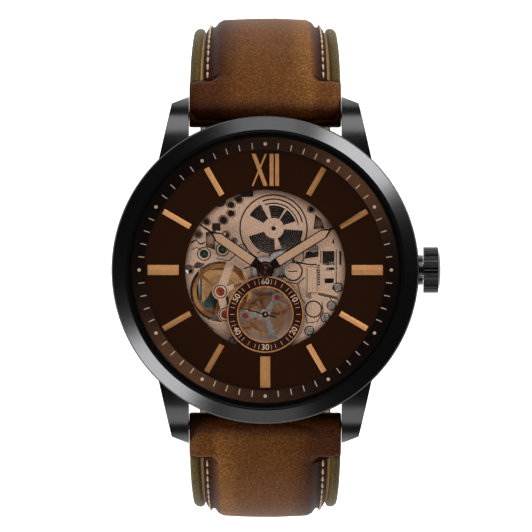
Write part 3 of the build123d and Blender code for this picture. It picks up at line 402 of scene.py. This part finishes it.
NODE_MATERIALS = {
    BLACK: ("mid_case", "bezel", "crown_tube", "case_back_ring", "buckle_frame", "buckle_tongue"),
    DARK_STEEL: ("crystal_gasket", "crown"),
    PINK_STEEL: ("hour_wheel", "minute_wheel", "centre_wheel", "cannon_pinion"),
    ORANGE_GOLD: ("balance_wheel",),
    SUBRING: ("subdial_ring",),
    STEEL: ("mainspring", "lug_spring_bars", "buckle_spring_bar", "rotor_bearing", "winding_stem",
            "pallet_bridge", "pallet_fork", "setting_lever", "clutch", "winding_pinion",
            "ratchet_wheel", "crown_wheel", "barrel_arbor", "rotor", "reverser_wheel"),
    SCREW_STEEL: ("movement_screws", "click", "seconds_bridge"),
    PLATE: ("main_plate",),
    BRIGHTENED_BRIDGE: ("train_bridge",),
    BRIDGE: ("barrel_bridge", "balance_cock", "automatic_bridge"),
    GOLD: ("third_wheel", "fourth_wheel", "escape_wheel", "barrel_drum"),
    ROSE: ("subdial_rims", "hour_markers", "numeral_twelve"),
    BLUED: ("hairspring",),
    DIAL: ("dial",),
    RING: ("chapter_ring",),
    HAND: ("hour_hand", "minute_hand", "seconds_hand"),
    SEAL: ("case_back_gasket", "crown_gasket"),
    HOLDER: ("movement_ring",),
    RUBY: ("jewels",),
    GLASS: ("crystal", "case_back_glass"),
}


def dress_nodes():
    for mat, names in NODE_MATERIALS.items():
        for name in names:
            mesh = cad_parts[name].data
            mesh.materials.clear()
            mesh.materials.append(mat)


dress_nodes()


def piece(name, part, mat, body, smooth=True):
    """A new piece that rides on a body."""
    obj = new_mesh(name, *part, smooth)
    obj.data.materials.append(mat)
    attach(obj, body)
    return obj


# ---------------------------------------------------------------- stage, light, camera

# Name, then azimuth, elevation and distance, then width and height, then power
LAMPS = (("fill_top", (90, 44, 0.8), (0.36, 0.5), 2.7),
         ("fill_bottom", (-90, 46, 0.8), (0.36, 0.5), 1.6),
         ("upper_right", (50, 31, 0.5), (0.26, 0.2), 2.5),
         ("lower_left", (224, 31, 0.5), (0.26, 0.2), 2.2))
AIM = (0, 0, 0.005)

# Half size of the floor in millimetres, then its distance below the watch in metres
FLOOR_HALF = 3000.0
FLOOR_GAP = 0.0003
FLOOR_LIGHT = 0.62
WORLD_LIGHT = 0.06

# Radii of the painted shadow under the watch: the floor starts to give light at the first and gives all of
# it from the second
SHADED_R = 0.015
LIT_R = 0.019

VIEW_WIDTH = 0.0760
CAMERA_HEIGHT = 0.70
SENSOR = 36
CAMERA_SHIFT = (0.00011, 0.00057)


def box_light(name, at, size, power):
    data = bpy.data.lights.new(name, "AREA")
    data.shape = "RECTANGLE"
    data.size, data.size_y = size
    data.energy = power
    lamp = bpy.data.objects.new(name, data)
    bpy.context.scene.collection.objects.link(lamp)
    lamp.location = at
    lamp.rotation_euler = (Vector(AIM) - Vector(at)).to_track_quat("-Z", "Y").to_euler()


def ring_point(azimuth, elevation, distance):
    """Place on a sphere about the dial; azimuth counts from +X towards +Y."""
    a, e = radians(azimuth), radians(elevation)
    return (distance * cos(a) * cos(e), distance * sin(a) * cos(e), distance * sin(e))


def light_floor(mat, strength):
    """The floor gives light all round the watch; straight below it a painted shadow gives none, also through
    the watch.
    """
    place = node(mat, "ShaderNodeTexCoord")
    distance = node(mat, "ShaderNodeVectorMath", operation="LENGTH")
    wire(mat, place.outputs["Object"], distance.inputs[0])
    span = node(mat, "ShaderNodeMapRange")
    span.inputs["From Min"].default_value = SHADED_R
    span.inputs["From Max"].default_value = LIT_R
    span.inputs["To Max"].default_value = strength
    wire(mat, distance.outputs["Value"], span.inputs["Value"])
    wire(mat, span.outputs["Result"], shader_of(mat).inputs["Emission Strength"])


def make_stage():
    """A pale floor just under the watch, glowing except for a painted shadow below it, a dim white world and
    four soft lamps.
    """
    corners = [(-FLOOR_HALF, -FLOOR_HALF, 0), (FLOOR_HALF, -FLOOR_HALF, 0), (FLOOR_HALF, FLOOR_HALF, 0),
               (-FLOOR_HALF, FLOOR_HALF, 0)]
    floor = new_mesh("floor", corners, [(0, 1, 2, 3)])
    floor.location.z = cad_box[0][2] - FLOOR_GAP
    pale = material("pale_floor", (0.93, 0.93, 0.93), 0.0, 0.9)
    shader_of(pale).inputs["Emission Color"].default_value = (1, 1, 1, 1)
    light_floor(pale, FLOOR_LIGHT)
    floor.data.materials.append(pale)
    world = bpy.data.worlds.new("studio")
    bpy.context.scene.world = world
    world.use_nodes = True
    world.node_tree.nodes["Background"].inputs["Color"].default_value = (1, 1, 1, 1)
    world.node_tree.nodes["Background"].inputs["Strength"].default_value = WORLD_LIGHT
    bpy.context.scene.view_settings.view_transform = "Standard"
    for name, direction, size, power in LAMPS:
        box_light(name, ring_point(*direction), size, power)


def make_camera():
    """Straight above the dial with twelve o'clock up; the hand axis sits just below the middle."""
    data = bpy.data.cameras.new("camera")
    data.sensor_width = SENSOR
    data.lens = SENSOR * CAMERA_HEIGHT / VIEW_WIDTH
    camera = bpy.data.objects.new("camera", data)
    bpy.context.scene.collection.objects.link(camera)
    camera.location = (*CAMERA_SHIFT, CAMERA_HEIGHT + DIAL_TOP * MM)
    bpy.context.scene.camera = camera


# ---------------------------------------------------------------- strap

ARC_STEPS = 110
WRAP_DEGREES = 96
WRAP_STEP = 6

# The full-width collar at the lugs, the padding, and the flat border outside it
COLLAR = 5.6
COLLAR_STEP = 1.6
PAD_HALF = 7.75
FLANGE_HALF = 8.95
FLANGE_RISE = 0.75
CROWN_RISE = 0.32
EDGE_DROP = 0.45

# Share of the thickness that is lining, and the length over which the strap thins out
BASE_SHARE = 0.34
CLOSE_LENGTH = 60.0
INNER_PAD = 1.6
BAR_CLEAR = BAR_HOLE_R + 0.05

# Rolled edges of the lining, and its faces across the strap that lie on them
ROLL_WIDTH = 1.55
ROLL_RISE = 0.55
ROLL_FACES = (*range(0, 6), *range(9, 15))

# Length of the rounded tip of the tail half
TIP_REACH = 9.0

# Points across the top leather, as shares of its half width
ACROSS_LEFT = (-1, -0.995, -0.975, -0.95, -0.9, -0.86, -0.8, -0.72, -0.6, -0.4, -0.2, 0)
ACROSS = ACROSS_LEFT + tuple(-share for share in ACROSS_LEFT[-2::-1])


def smooth_step(low, high, value):
    t = min(1.0, max(0.0, (value - low) / (high - low)))
    return t * t * (3 - 2 * t)


def arc_stations(centre_y, centre_z, radius, start, sweep):
    """Stations (y, z, outward normal) round an arc."""
    stations = []
    for i in range(ARC_STEPS + 1):
        angle = start + sweep * i / ARC_STEPS
        normal = (cos(angle), sin(angle))
        stations.append((centre_y + radius * normal[0], centre_z + radius * normal[1], normal))
    return stations


def measured(stations):
    """Adds the distance along to each station."""
    out, along = [], 0.0
    for i, (y, z, normal) in enumerate(stations):
        if i:
            along += sqrt((y - stations[i - 1][0]) ** 2 + (z - stations[i - 1][1]) ** 2)
        out.append((y, z, normal, along))
    return out


def buckle_path():
    """Stations down the buckle half, from the upper lugs to the buckle bar."""
    start = atan2(BAR_Z - LOOP_Z, BAR_Y - FLAT_Y)
    stations = arc_stations(FLAT_Y, LOOP_Z, LOOP_R, start, -(start + pi / 2))
    stations += [(y, BUCKLE_Z, (0, -1)) for y in (7, 6, 5, 4, 3, 2, 1.2)]
    return measured(stations)


def tail_arc():
    """Radius and centre of the arc from the lower lugs round to the bottom of the loop."""
    across, drop = TAIL_LOOP_Y - BAR_Y, BAR_Z - TAIL_Z
    radius = across + drop - sqrt(2 * across * drop)
    return radius, radius - TAIL_LOOP_Y, TAIL_Z + radius


def tail_path():
    """Stations down the tail half to its tip, which lies inside the buckle half."""
    radius, centre_y, centre_z = tail_arc()
    start = atan2(BAR_Z - centre_z, -BAR_Y - centre_y)
    stations = arc_stations(centre_y, centre_z, radius, start, 3 * pi / 2 - start)
    y = centre_y + 1
    while y < TAIL_END:
        stations.append((y, TAIL_Z, (0, -1)))
        y += 1
    stations.append((TAIL_END, TAIL_Z, (0, -1)))
    return measured(stations)


def wrap_stations(stations):
    """Extra stations that carry the top leather round the spring bar on the case side."""
    y, z, normal = stations[0][:3]
    back_y, back_z = y - stations[1][0], z - stations[1][1]
    size = sqrt(back_y ** 2 + back_z ** 2)
    wrap = []
    for degree in range(WRAP_DEGREES, 0, -WRAP_STEP):
        c, s = cos(radians(degree)), sin(radians(degree))
        outward = (normal[0] * c + back_y / size * s, normal[1] * c + back_z / size * s)
        wrap.append((y, z, outward, -degree / WRAP_DEGREES))
    return wrap + stations


def refined(stations):
    """Closer stations round the collar step, so that its edge is crisp."""
    out = []
    for first, last in zip(stations, stations[1:]):
        out.append(first)
        steps = 8 if abs(first[3] - COLLAR) < COLLAR_STEP else 1
        for i in range(1, steps):
            t = i / steps
            normal = tuple(first[2][k] + (last[2][k] - first[2][k]) * t for k in (0, 1))
            size = sqrt(normal[0] ** 2 + normal[1] ** 2)
            y, z, along = (first[k] + (last[k] - first[k]) * t for k in (0, 1, 3))
            out.append((y, z, (normal[0] / size, normal[1] / size), along))
    out.append(stations[-1])
    return out


def station_at(stations, distance):
    """Station at a distance along, between its neighbours."""
    for first, last in zip(stations, stations[1:]):
        if last[3] >= distance:
            t = (distance - first[3]) / max(1e-9, last[3] - first[3])
            y, z, along = (first[k] + (last[k] - first[k]) * t for k in (0, 1, 3))
            return y, z, first[2], along
    return stations[-1]


def placed(station, ring):
    """Points (x, height) of a ring, set at a station."""
    y, z, normal = station[:3]
    return [(x, y + height * normal[0], z + height * normal[1]) for x, height in ring]


def half_width(along):
    return WIDE + (NARROW - WIDE) * smooth_step(4, 45, along)


def taper(along):
    return half_width(along) / WIDE


def thickness(along):
    """Inner and outer distance from the middle line."""
    share = min(1.0, along / CLOSE_LENGTH)
    return -INNER_PAD + (INNER_PAD - THIN) * share, PAD + (THIN - PAD) * share


def seam(along):
    """Height at which the top leather meets the lining."""
    inner, outer = thickness(along)
    return inner + (outer - inner) * BASE_SHARE


def tip_width(left):
    """Half width of the rounded tail tip at a distance from its end."""
    if left >= TIP_REACH:
        return WIDE
    return max(0.4, NARROW * sqrt(max(0.0, 1 - ((TIP_REACH - left) / TIP_REACH) ** 2)))


def pad_height(along, length):
    """How proud the padding stands: full near the case, fading towards the buckle."""
    return (1 - 0.8 * smooth_step(40, 62, along)) * smooth_step(0, 3, length - along)


def top_heights(along):
    """Underside and upper face of the top leather; near the case the underside clears the bar."""
    base, outer = seam(along), thickness(along)[1]
    if along < BAR_CLEAR:
        base = max(base, sqrt(BAR_CLEAR ** 2 - max(0.0, along) ** 2))
    if along < 0:
        outer -= 0.3 * smooth_step(0, -0.5, along)
    return base, outer


def top_side(along, length, tip):
    """Half width of the top leather: the whole width at the collar, then up to the rolled edge."""
    side = half_width(along) if along < COLLAR else FLANGE_HALF * taper(along)
    return min(side, tip_width(length - along)) if tip else side


def top_surface(share, x, along, heights, pad, puff, collar):
    """Height of the upper face: crowned padding, a step down to the flat border, a rounded edge."""
    base, outer = heights
    flange = base + FLANGE_RISE
    on_pad = 1 - smooth_step(pad - 0.95, pad + 0.1, abs(x))
    lift = max(on_pad * puff, collar)
    crown = CROWN_RISE * (1 - (x / pad) ** 2) * puff if abs(x) < pad else 0
    edge_drop = EDGE_DROP * max(0.0, abs(share) - 0.9) / 0.1
    drop_share = 1 if lift > 0.5 or abs(share) > 0.99 else 0.4
    wave = 0.05 * noise.noise(Vector((x * 0.35, along * 0.3, 3.1)))
    return flange + (outer - 0.3 - flange) * lift + crown - edge_drop * drop_share + wave


def burnish(x, along, side, pad, collar, tip):
    """Painted light and shade on the leather: shade beside the padding and on one shoulder, a highlight on
    the other, a shadow next to the case, and a little darker towards the edge.
    """
    lean = x if tip else -x
    # Painted shade in the groove beside the padding, and on the shoulder away from the lamps
    groove_shade = smooth_step(pad - 1.3, pad - 0.2, abs(x)) * (1 - collar)
    shoulder_shade = smooth_step(pad - 4.5, pad, lean) * (1 - 0.3 * collar)
    rim = smooth_step(pad + 0.2, side, abs(x)) * (1 - collar)
    # Painted highlight on the shoulder towards the lamps
    painted_sheen = 0.5 * smooth_step(pad - 4.4, pad - 2.0, -lean) * (1 - smooth_step(pad - 1.4, pad - 0.4, -lean))
    # Painted shadow next to the case
    case_shadow = 0.25 + 0.75 * smooth_step(-0.9, 1.2, along)
    return (1 + painted_sheen - 0.72 * max(groove_shade, shoulder_shade) - 0.2 * rim) * case_shadow


def top_row(station, length, tip):
    """One ring of the top leather: over the top from left to right, and back underneath."""
    along = station[3]
    heights = top_heights(along)
    base = heights[0]
    side = top_side(along, length, tip)
    pad = PAD_HALF * taper(along)
    puff = pad_height(along, length)
    collar = 1 - smooth_step(COLLAR - COLLAR_STEP, COLLAR, along)
    ring, shades = [], []
    for share in ACROSS:
        x = share * side
        ring.append((x, top_surface(share, x, along, heights, pad, puff, collar)))
        shades.append(burnish(x, along, side, pad, collar, tip))
    ring += [(side, base), (0.5 * side, base), (-0.5 * side, base), (-side, base)]
    shades += [0.6] * 4
    return placed(station, ring), shades


def base_row(station, length, tip):
    """One ring of the lining and its rolled edges."""
    along = station[3]
    inner, base = thickness(along)[0], seam(along)
    side = half_width(along)
    if tip:
        side = min(side, tip_width(length - along))
    roll = 0 if along < COLLAR else ROLL_RISE * smooth_step(COLLAR, COLLAR + 0.4, along)
    edge = min(ROLL_WIDTH, side * 0.4)
    rolled = ((1, -0.12), (0.86, roll * 0.7), (0.6, roll), (0.3, roll * 0.86), (0.06, roll * 0.3))
    left = [(-side + edge * share, base + rise) for share, rise in rolled]
    left += [(-side, (base + inner) / 2), (-side + 0.25, inner + 0.1), (-side + 0.8, inner)]
    ring = left + [(-x, height) for x, height in left[::-1]]
    return placed(station, ring[::-1])


def shade_attribute(obj, shades):
    """Shading for the leather; green and blue fall faster than red, so that dark leather is warmer."""
    layer = obj.data.color_attributes.new("shade", "FLOAT_COLOR", "POINT")
    for item, value in zip(layer.data, shades):
        item.color = (value, value ** 1.35, value ** 1.5, 1)


def paint_rolls(base, width, faces_along):
    """Olive leather on the rolled edges of the lining."""
    base.data.materials.append(OLIVE)
    for face in base.data.polygons:
        if face.index < faces_along and face.index % width in ROLL_FACES:
            face.material_index = 1


def strap_leather(prefix, stations, body, node_name, tip):
    """Padded top and lining of one strap half."""
    length = stations[-1][3]
    stations = refined(stations)
    rows, shades = [], []
    for station in wrap_stations(stations):
        row, row_shades = top_row(station, length, tip)
        rows.append(row)
        shades += row_shades
    top = piece(prefix + "_padded_top", capped(rows), TOP_LEATHER, body)
    shade_attribute(top, shades)
    base_rows = [base_row(station, length, tip) for station in stations if station[3] > BAR_CLEAR]
    base = piece(prefix + "_lining", capped(base_rows), LINING, body)
    width = len(base_rows[0])
    paint_rolls(base, width, width * (len(base_rows) - 1))
    shade_attribute(base, [1.0] * len(base.data.vertices))
    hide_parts(node_name)
    return top, base


STITCH_PITCH = 1.75
STITCH_RUN = 1.25
STITCH_X = 8.38
STITCH_RISE = 0.72
STITCH_ARCH = 0.22
THREAD_R = 0.17


def stitch(start, end, lift):
    """A short arched thread between two needle holes."""
    start, end, lift = Vector(start), Vector(end), Vector(lift)
    along = (end - start).normalized()
    across = lift.cross(along).normalized()
    up = along.cross(across).normalized()
    rows = []
    for i in range(7):
        t = i / 6
        centre = start.lerp(end, t) + lift * sin(pi * t) * STITCH_ARCH
        fat = THREAD_R * (0.55 + 0.45 * sin(pi * t))
        turns = [k * pi / 3 for k in range(6)]
        rows.append([tuple(centre + across * cos(turn) * fat + up * sin(turn) * fat) for turn in turns])
    return capped(rows)


def needle_hole(station, side):
    """Place of a needle hole in the border at a station."""
    along = station[3]
    return placed(station, [(side * STITCH_X * half_width(along) / WIDE, seam(along) + STITCH_RISE)])[0]


def stitching(prefix, stations, body, stop):
    """A row of thread down each border, from the collar to a distance along the strap."""
    start = COLLAR + 0.5
    parts = []
    for side in (-1, 1):
        for number in range(int((stop - start) / STITCH_PITCH)):
            distance = start + number * STITCH_PITCH
            first = station_at(stations, distance)
            last = station_at(stations, distance + STITCH_RUN)
            outward = (0, *last[2])
            parts.append(stitch(needle_hole(first, side), needle_hole(last, side), outward))
    piece(prefix + "_stitches", merged(parts), THREAD, body)


LUG_FOLD_R = 1.8
TONGUE_SLOT = 1.2
FOLD_STEPS = 28

# Name, body, centre of the bar in Y and Z, span across the strap, radius, shade
FOLDS = (("upper_strap_bar_fold", "strap_top", (BAR_Y, BAR_Z), (-WIDE, WIDE), LUG_FOLD_R, 0.45),
         ("lower_strap_bar_fold", "strap_tail", (-BAR_Y, BAR_Z), (-WIDE, WIDE), LUG_FOLD_R, 0.45),
         ("buckle_fold_left", "strap_top", (0, BUCKLE_Z), (-NARROW, -TONGUE_SLOT), EYE_R, 0.7),
         ("buckle_fold_right", "strap_top", (0, BUCKLE_Z), (TONGUE_SLOT, NARROW), EYE_R, 0.7))


def bar_fold(name, body, centre, span, radius, shade):
    """Leather folded round a spring bar, with rounded ends and a hole for the bar."""
    middle_y, middle_z = centre
    left, right = span
    rounding = ((0, radius - 0.22), (0.1, radius - 0.07), (0.4, radius))
    circles = [(left + inset, r) for inset, r in rounding]
    circles += [(right - inset, r) for inset, r in rounding[::-1]]
    circles += [(right, BAR_HOLE_R), (left, BAR_HOLE_R)]
    turns = [2 * pi * i / FOLD_STEPS for i in range(FOLD_STEPS)]
    rows = [[(x, middle_y + r * cos(turn), middle_z + r * sin(turn)) for turn in turns]
            for x, r in circles + circles[:1]]
    fold = piece(name, tube(rows), TOP_LEATHER, body)
    shade_attribute(fold, [shade] * len(fold.data.vertices))


CUTTER_HALF = 3
CUTTER_SIDES = 20


def cut_holes(obj, parts):
    """Punches closed cutter shapes out of a piece."""
    cutter = new_mesh(obj.name + "_cutter", *merged(parts), False)
    change = obj.modifiers.new("holes", "BOOLEAN")
    change.operation = "DIFFERENCE"
    change.solver = "EXACT"
    change.object = cutter
    graph = bpy.context.evaluated_depsgraph_get()
    mesh = bpy.data.meshes.new_from_object(obj.evaluated_get(graph), depsgraph=graph)
    obj.modifiers.clear()
    obj.data = mesh
    bpy.data.objects.remove(cutter)


def punch(y, z, angle):
    """Round cutter through the strap at an angle from straight down."""
    rows = []
    for reach in (-CUTTER_HALF, CUTTER_HALF):
        middle_y, middle_z = y + reach * sin(angle), z - reach * cos(angle)
        ring = []
        for k in range(CUTTER_SIDES):
            turn = 2 * pi * k / CUTTER_SIDES
            along = HOLE_R * sin(turn)
            ring.append((HOLE_R * cos(turn), middle_y + along * cos(angle), middle_z + along * sin(angle)))
        rows.append(ring)
    return capped(rows)


def tail_holes():
    """Cutters for the buckle holes: the first ones on the straight, the rest round the arc."""
    radius, centre_y, centre_z = tail_arc()
    holes = [punch(FIRST_HOLE_Y - number * HOLE_PITCH, TAIL_Z, 0) for number in range(STRAIGHT_HOLES)]
    for number in range(STRAIGHT_HOLES, HOLES):
        angle = -(number * HOLE_PITCH - (FIRST_HOLE_Y - centre_y)) / radius
        holes.append(punch(centre_y + radius * sin(angle), centre_z - radius * cos(angle), angle))
    return holes


# Half widths of the keepers outside and inside, and their places along the strap
KEEPER_WIDTH = 4.0
FIXED_OUT, FIXED_IN = 11.6, 10.2
FREE_OUT, FREE_IN = 11.8, 10.35
FIXED_KEEPER_Y = 6.6
FREE_KEEPER_ANGLE = -75.5
OUTER_CORNER = 1.3
INNER_CORNER = 0.3
CORNER_STEPS = 6


def rounded_frame(half, low, high, corner):
    """Points round a rectangle with rounded corners, the same count for any size."""
    points = []
    corners = ((half - corner, high - corner, 0), (corner - half, high - corner, 90),
               (corner - half, low + corner, 180), (half - corner, low + corner, 270))
    for x, z, start in corners:
        for i in range(CORNER_STEPS + 1):
            turn = radians(start + 90 * i / CORNER_STEPS)
            points.append((x + corner * cos(turn), z + corner * sin(turn)))
    return points


def keeper(name, body, node_name, outer, inner, place):
    """A loop of leather round the strap, with rounded edges."""
    outside = rounded_frame(*outer, OUTER_CORNER)
    inside = rounded_frame(*inner, INNER_CORNER)
    half = KEEPER_WIDTH / 2
    section = ((0.75, -half), (0.95, -half + 0.15), (1, -half + 0.45), (1, half - 0.45), (0.95, half - 0.15),
               (0.75, half), (0.2, half), (0, half - 0.2), (0, -half + 0.2), (0.2, -half))
    rows = []
    for (far_x, far_z), (x, z) in zip(outside, inside):
        rows.append([place(x + (far_x - x) * share, z + (far_z - z) * share, along)
                     for share, along in section])
    loop = piece(name, tube(rows + rows[:1]), TOP_LEATHER, body)
    shade_attribute(loop, [0.7] * len(loop.data.vertices))
    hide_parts(node_name)


def on_straight(x, z, along):
    return (x, FIXED_KEEPER_Y + along, z)


def on_curve(x, radius, along):
    turn = radians(FREE_KEEPER_ANGLE) + along / LOOP_R
    return (x, FLAT_Y + radius * cos(turn), LOOP_Z + radius * sin(turn))


def make_keepers():
    """One keeper fixed beside the buckle, and one free to slide round the curve of the strap."""
    low, high = FASTENED_Z - THIN - KEEPER_GAP, BUCKLE_Z + THIN + 0.05
    keeper("fixed_keeper_loop", "strap_top", "keeper_fixed", (FIXED_OUT, FLOOR_Z, high + 1.05),
           (FIXED_IN, low, high), on_straight)
    inner, outer = LOOP_R - THIN - KEEPER_GAP, LOOP_Z - FASTENED_Z + THIN + KEEPER_GAP
    keeper("free_keeper_loop", "loop_keeper", "keeper_free", (FREE_OUT, inner - 1.0, outer + 1.4),
           (FREE_IN, inner, outer), on_curve)


UPPER_STITCHED = 62
LOWER_STITCHED = 86


def make_strap():
    upper = buckle_path()
    lower = tail_path()
    strap_leather("upper_strap", upper, "strap_top", "strap_buckle_half", False)
    tail_parts = strap_leather("lower_strap", lower, "strap_tail", "strap_tail_half", True)
    for part in tail_parts:
        cut_holes(part, tail_holes())
    stitching("upper_strap", upper, "strap_top", UPPER_STITCHED)
    stitching("lower_strap", lower, "strap_tail", LOWER_STITCHED)
    for fold in FOLDS:
        bar_fold(*fold)
    make_keepers()


# ---------------------------------------------------------------- dial furniture

LUME_HALF = 0.56
LUME_START = 2.16

# Name, angle of the hand, underside, top, far end, body
LUMES = (("hour_lume", HOUR_ANGLE, 9.06, 9.2, 9.1, "hour"),
         ("minute_lume", MINUTE_ANGLE, 9.36, 9.5, 10.7, "minute"))


def lume_fill(name, angle, low, high, end, body):
    """Raised luminous strip in a hand's slot, pointed at its far end."""
    half, start = LUME_HALF, LUME_START
    outline = [(-half, start + 0.15), (-half + 0.15, start), (half - 0.15, start), (half, start + 0.15),
               (half, end - 1.0), (0.02, end - 0.03), (-0.02, end - 0.03), (-half, end - 1.0)]
    small = [(x * 0.86, start + (y - start) * 0.99 + 0.05) for x, y in outline]
    rings = [[(x, y, z) for x, y in points]
             for points, z in ((outline, low), (outline, high - 0.02), (small, high + 0.03))]
    piece(name, turned_about(capped(rings), angle), LUME, body, False)


def printed_stroke(middle, half):
    """A thin line of print through points on its middle."""
    return capped([[(x - half, y, z), (x - half, y, z + PRINT), (x + half, y, z + PRINT), (x + half, y, z)]
                   for x, y, z in middle])


# Radius and height at the foot and head of the sloping chapter ring
RING_FOOT = (17.2, 8.85)
RING_HEAD = (18.95, 9.9)
MINUTE_TICK = (17.35, 18.2)
MINUTE_TICK_HALF = 0.06
DOT_PLACE = 18.0
DOT_R = 0.24
DOT_LIFT = PRINT + 0.02


def chapter_height(radius):
    rise, run = RING_HEAD[1] - RING_FOOT[1], RING_HEAD[0] - RING_FOOT[0]
    return RING_FOOT[1] + (radius - RING_FOOT[0]) * rise / run


def hour_dot():
    """Round dot on the slope, at the head of an hour bar."""
    rings = []
    for lift in (0, DOT_LIFT):
        ring = []
        for k in range(16):
            turn = k * pi / 8
            y = DOT_PLACE + DOT_R * sin(turn)
            ring.append((DOT_R * cos(turn), y, chapter_height(y) + lift))
        rings.append(ring)
    return capped(rings)


def minute_track():
    tick = printed_stroke([(0, radius, chapter_height(radius)) for radius in MINUTE_TICK], MINUTE_TICK_HALF)
    dot = hour_dot()
    parts = [turned_about(tick if minute % 5 else dot, minute * 6) for minute in range(60)]
    piece("minute_track", merged(parts), PAINT, "case", False)


SECOND_TICK = (4.42, 5.05)
FINE_HALF = 0.03
BRACKET_ANGLE = 11.0
BRACKET_CORNERS = ((4.36, 0.9), (4.52, 0.0), (4.9, 0.0), (5.1, 0.9))
FIGURE_R = 4.70
FIGURE_SIZE = 1.16


def bracket(side):
    """Stroke on one side of a numeral, bent in at both ends."""
    middle = []
    for radius, bend in BRACKET_CORNERS:
        turn = radians(side * (BRACKET_ANGLE - bend))
        middle.append((radius * sin(turn), radius * cos(turn), SUBDIAL_TOP))
    return printed_stroke(middle, FINE_HALF)


def seconds_ticks():
    """Ticks between the numerals of the small seconds, and a pair of brackets at each numeral."""
    tick = printed_stroke([(0, radius, SUBDIAL_TOP) for radius in SECOND_TICK], FINE_HALF)
    seconds = [second for second in range(60) if second % 10 in (3, 5, 7)]
    parts = [turned_about(tick, second * 6, SUBDIAL) for second in seconds]
    for value in range(0, 60, 10):
        parts += [turned_about(bracket(side), value * 6, SUBDIAL) for side in (-1, 1)]
    piece("seconds_ticks", merged(parts), PAINT, "case", False)


def figure(value):
    """Numeral of the small seconds, turned to its place; the lower ones are turned to stay readable."""
    angle = value * 6 % 360
    turn = angle if angle < 91 or angle > 269 else angle - 180
    curve = bpy.data.curves.new(f"figure_{value}", "FONT")
    curve.body = str(value)
    curve.size = FIGURE_SIZE * MM
    curve.align_x = "CENTER"
    curve.align_y = "CENTER"
    curve.extrude = PRINT / 2 * MM
    curve.offset = 0.012 * MM
    text = bpy.data.objects.new(f"figure_{value}", curve)
    bpy.context.scene.collection.objects.link(text)
    x = SUBDIAL[0] + FIGURE_R * sin(radians(angle))
    y = SUBDIAL[1] + FIGURE_R * cos(radians(angle))
    text.location = (x * MM, y * MM, (SUBDIAL_TOP + PRINT / 2) * MM)
    text.rotation_euler = (0, 0, -radians(turn))
    text.data.materials.append(PAINT)
    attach(text, "case")


# Radius and height down the outside of the turned boss and of the centre pin in it
HUB_BOSS = ((0.0, 9.66), (0.30, 9.66), (0.34, 9.63), (0.78, 9.63), (0.95, 9.60), (1.04, 9.55), (1.05, 9.51),
            (0, 9.51))
HUB_PIN = ((0.0, 9.72), (0.22, 9.72), (0.28, 9.69), (0.29, 9.64), (0, 9.64))


def hub_cap():
    """Turned boss over the hands, with the centre pin standing out of it."""
    turns = [k * pi / 16 for k in range(32)]
    for name, profile, mat in (("hub_boss", HUB_BOSS, HAND), ("hub_pin", HUB_PIN, SUBRING)):
        rows = [[(r * cos(turn), r * sin(turn), z) for turn in turns] for r, z in profile]
        piece(name, tube(rows), mat, "minute")


def make_dial():
    hub_cap()
    for lume in LUMES:
        lume_fill(*lume)
    minute_track()
    seconds_ticks()
    for value in (10, 20, 30, 40, 50, 60):
        figure(value)


make_stage()
make_camera()
make_strap()
make_dial()
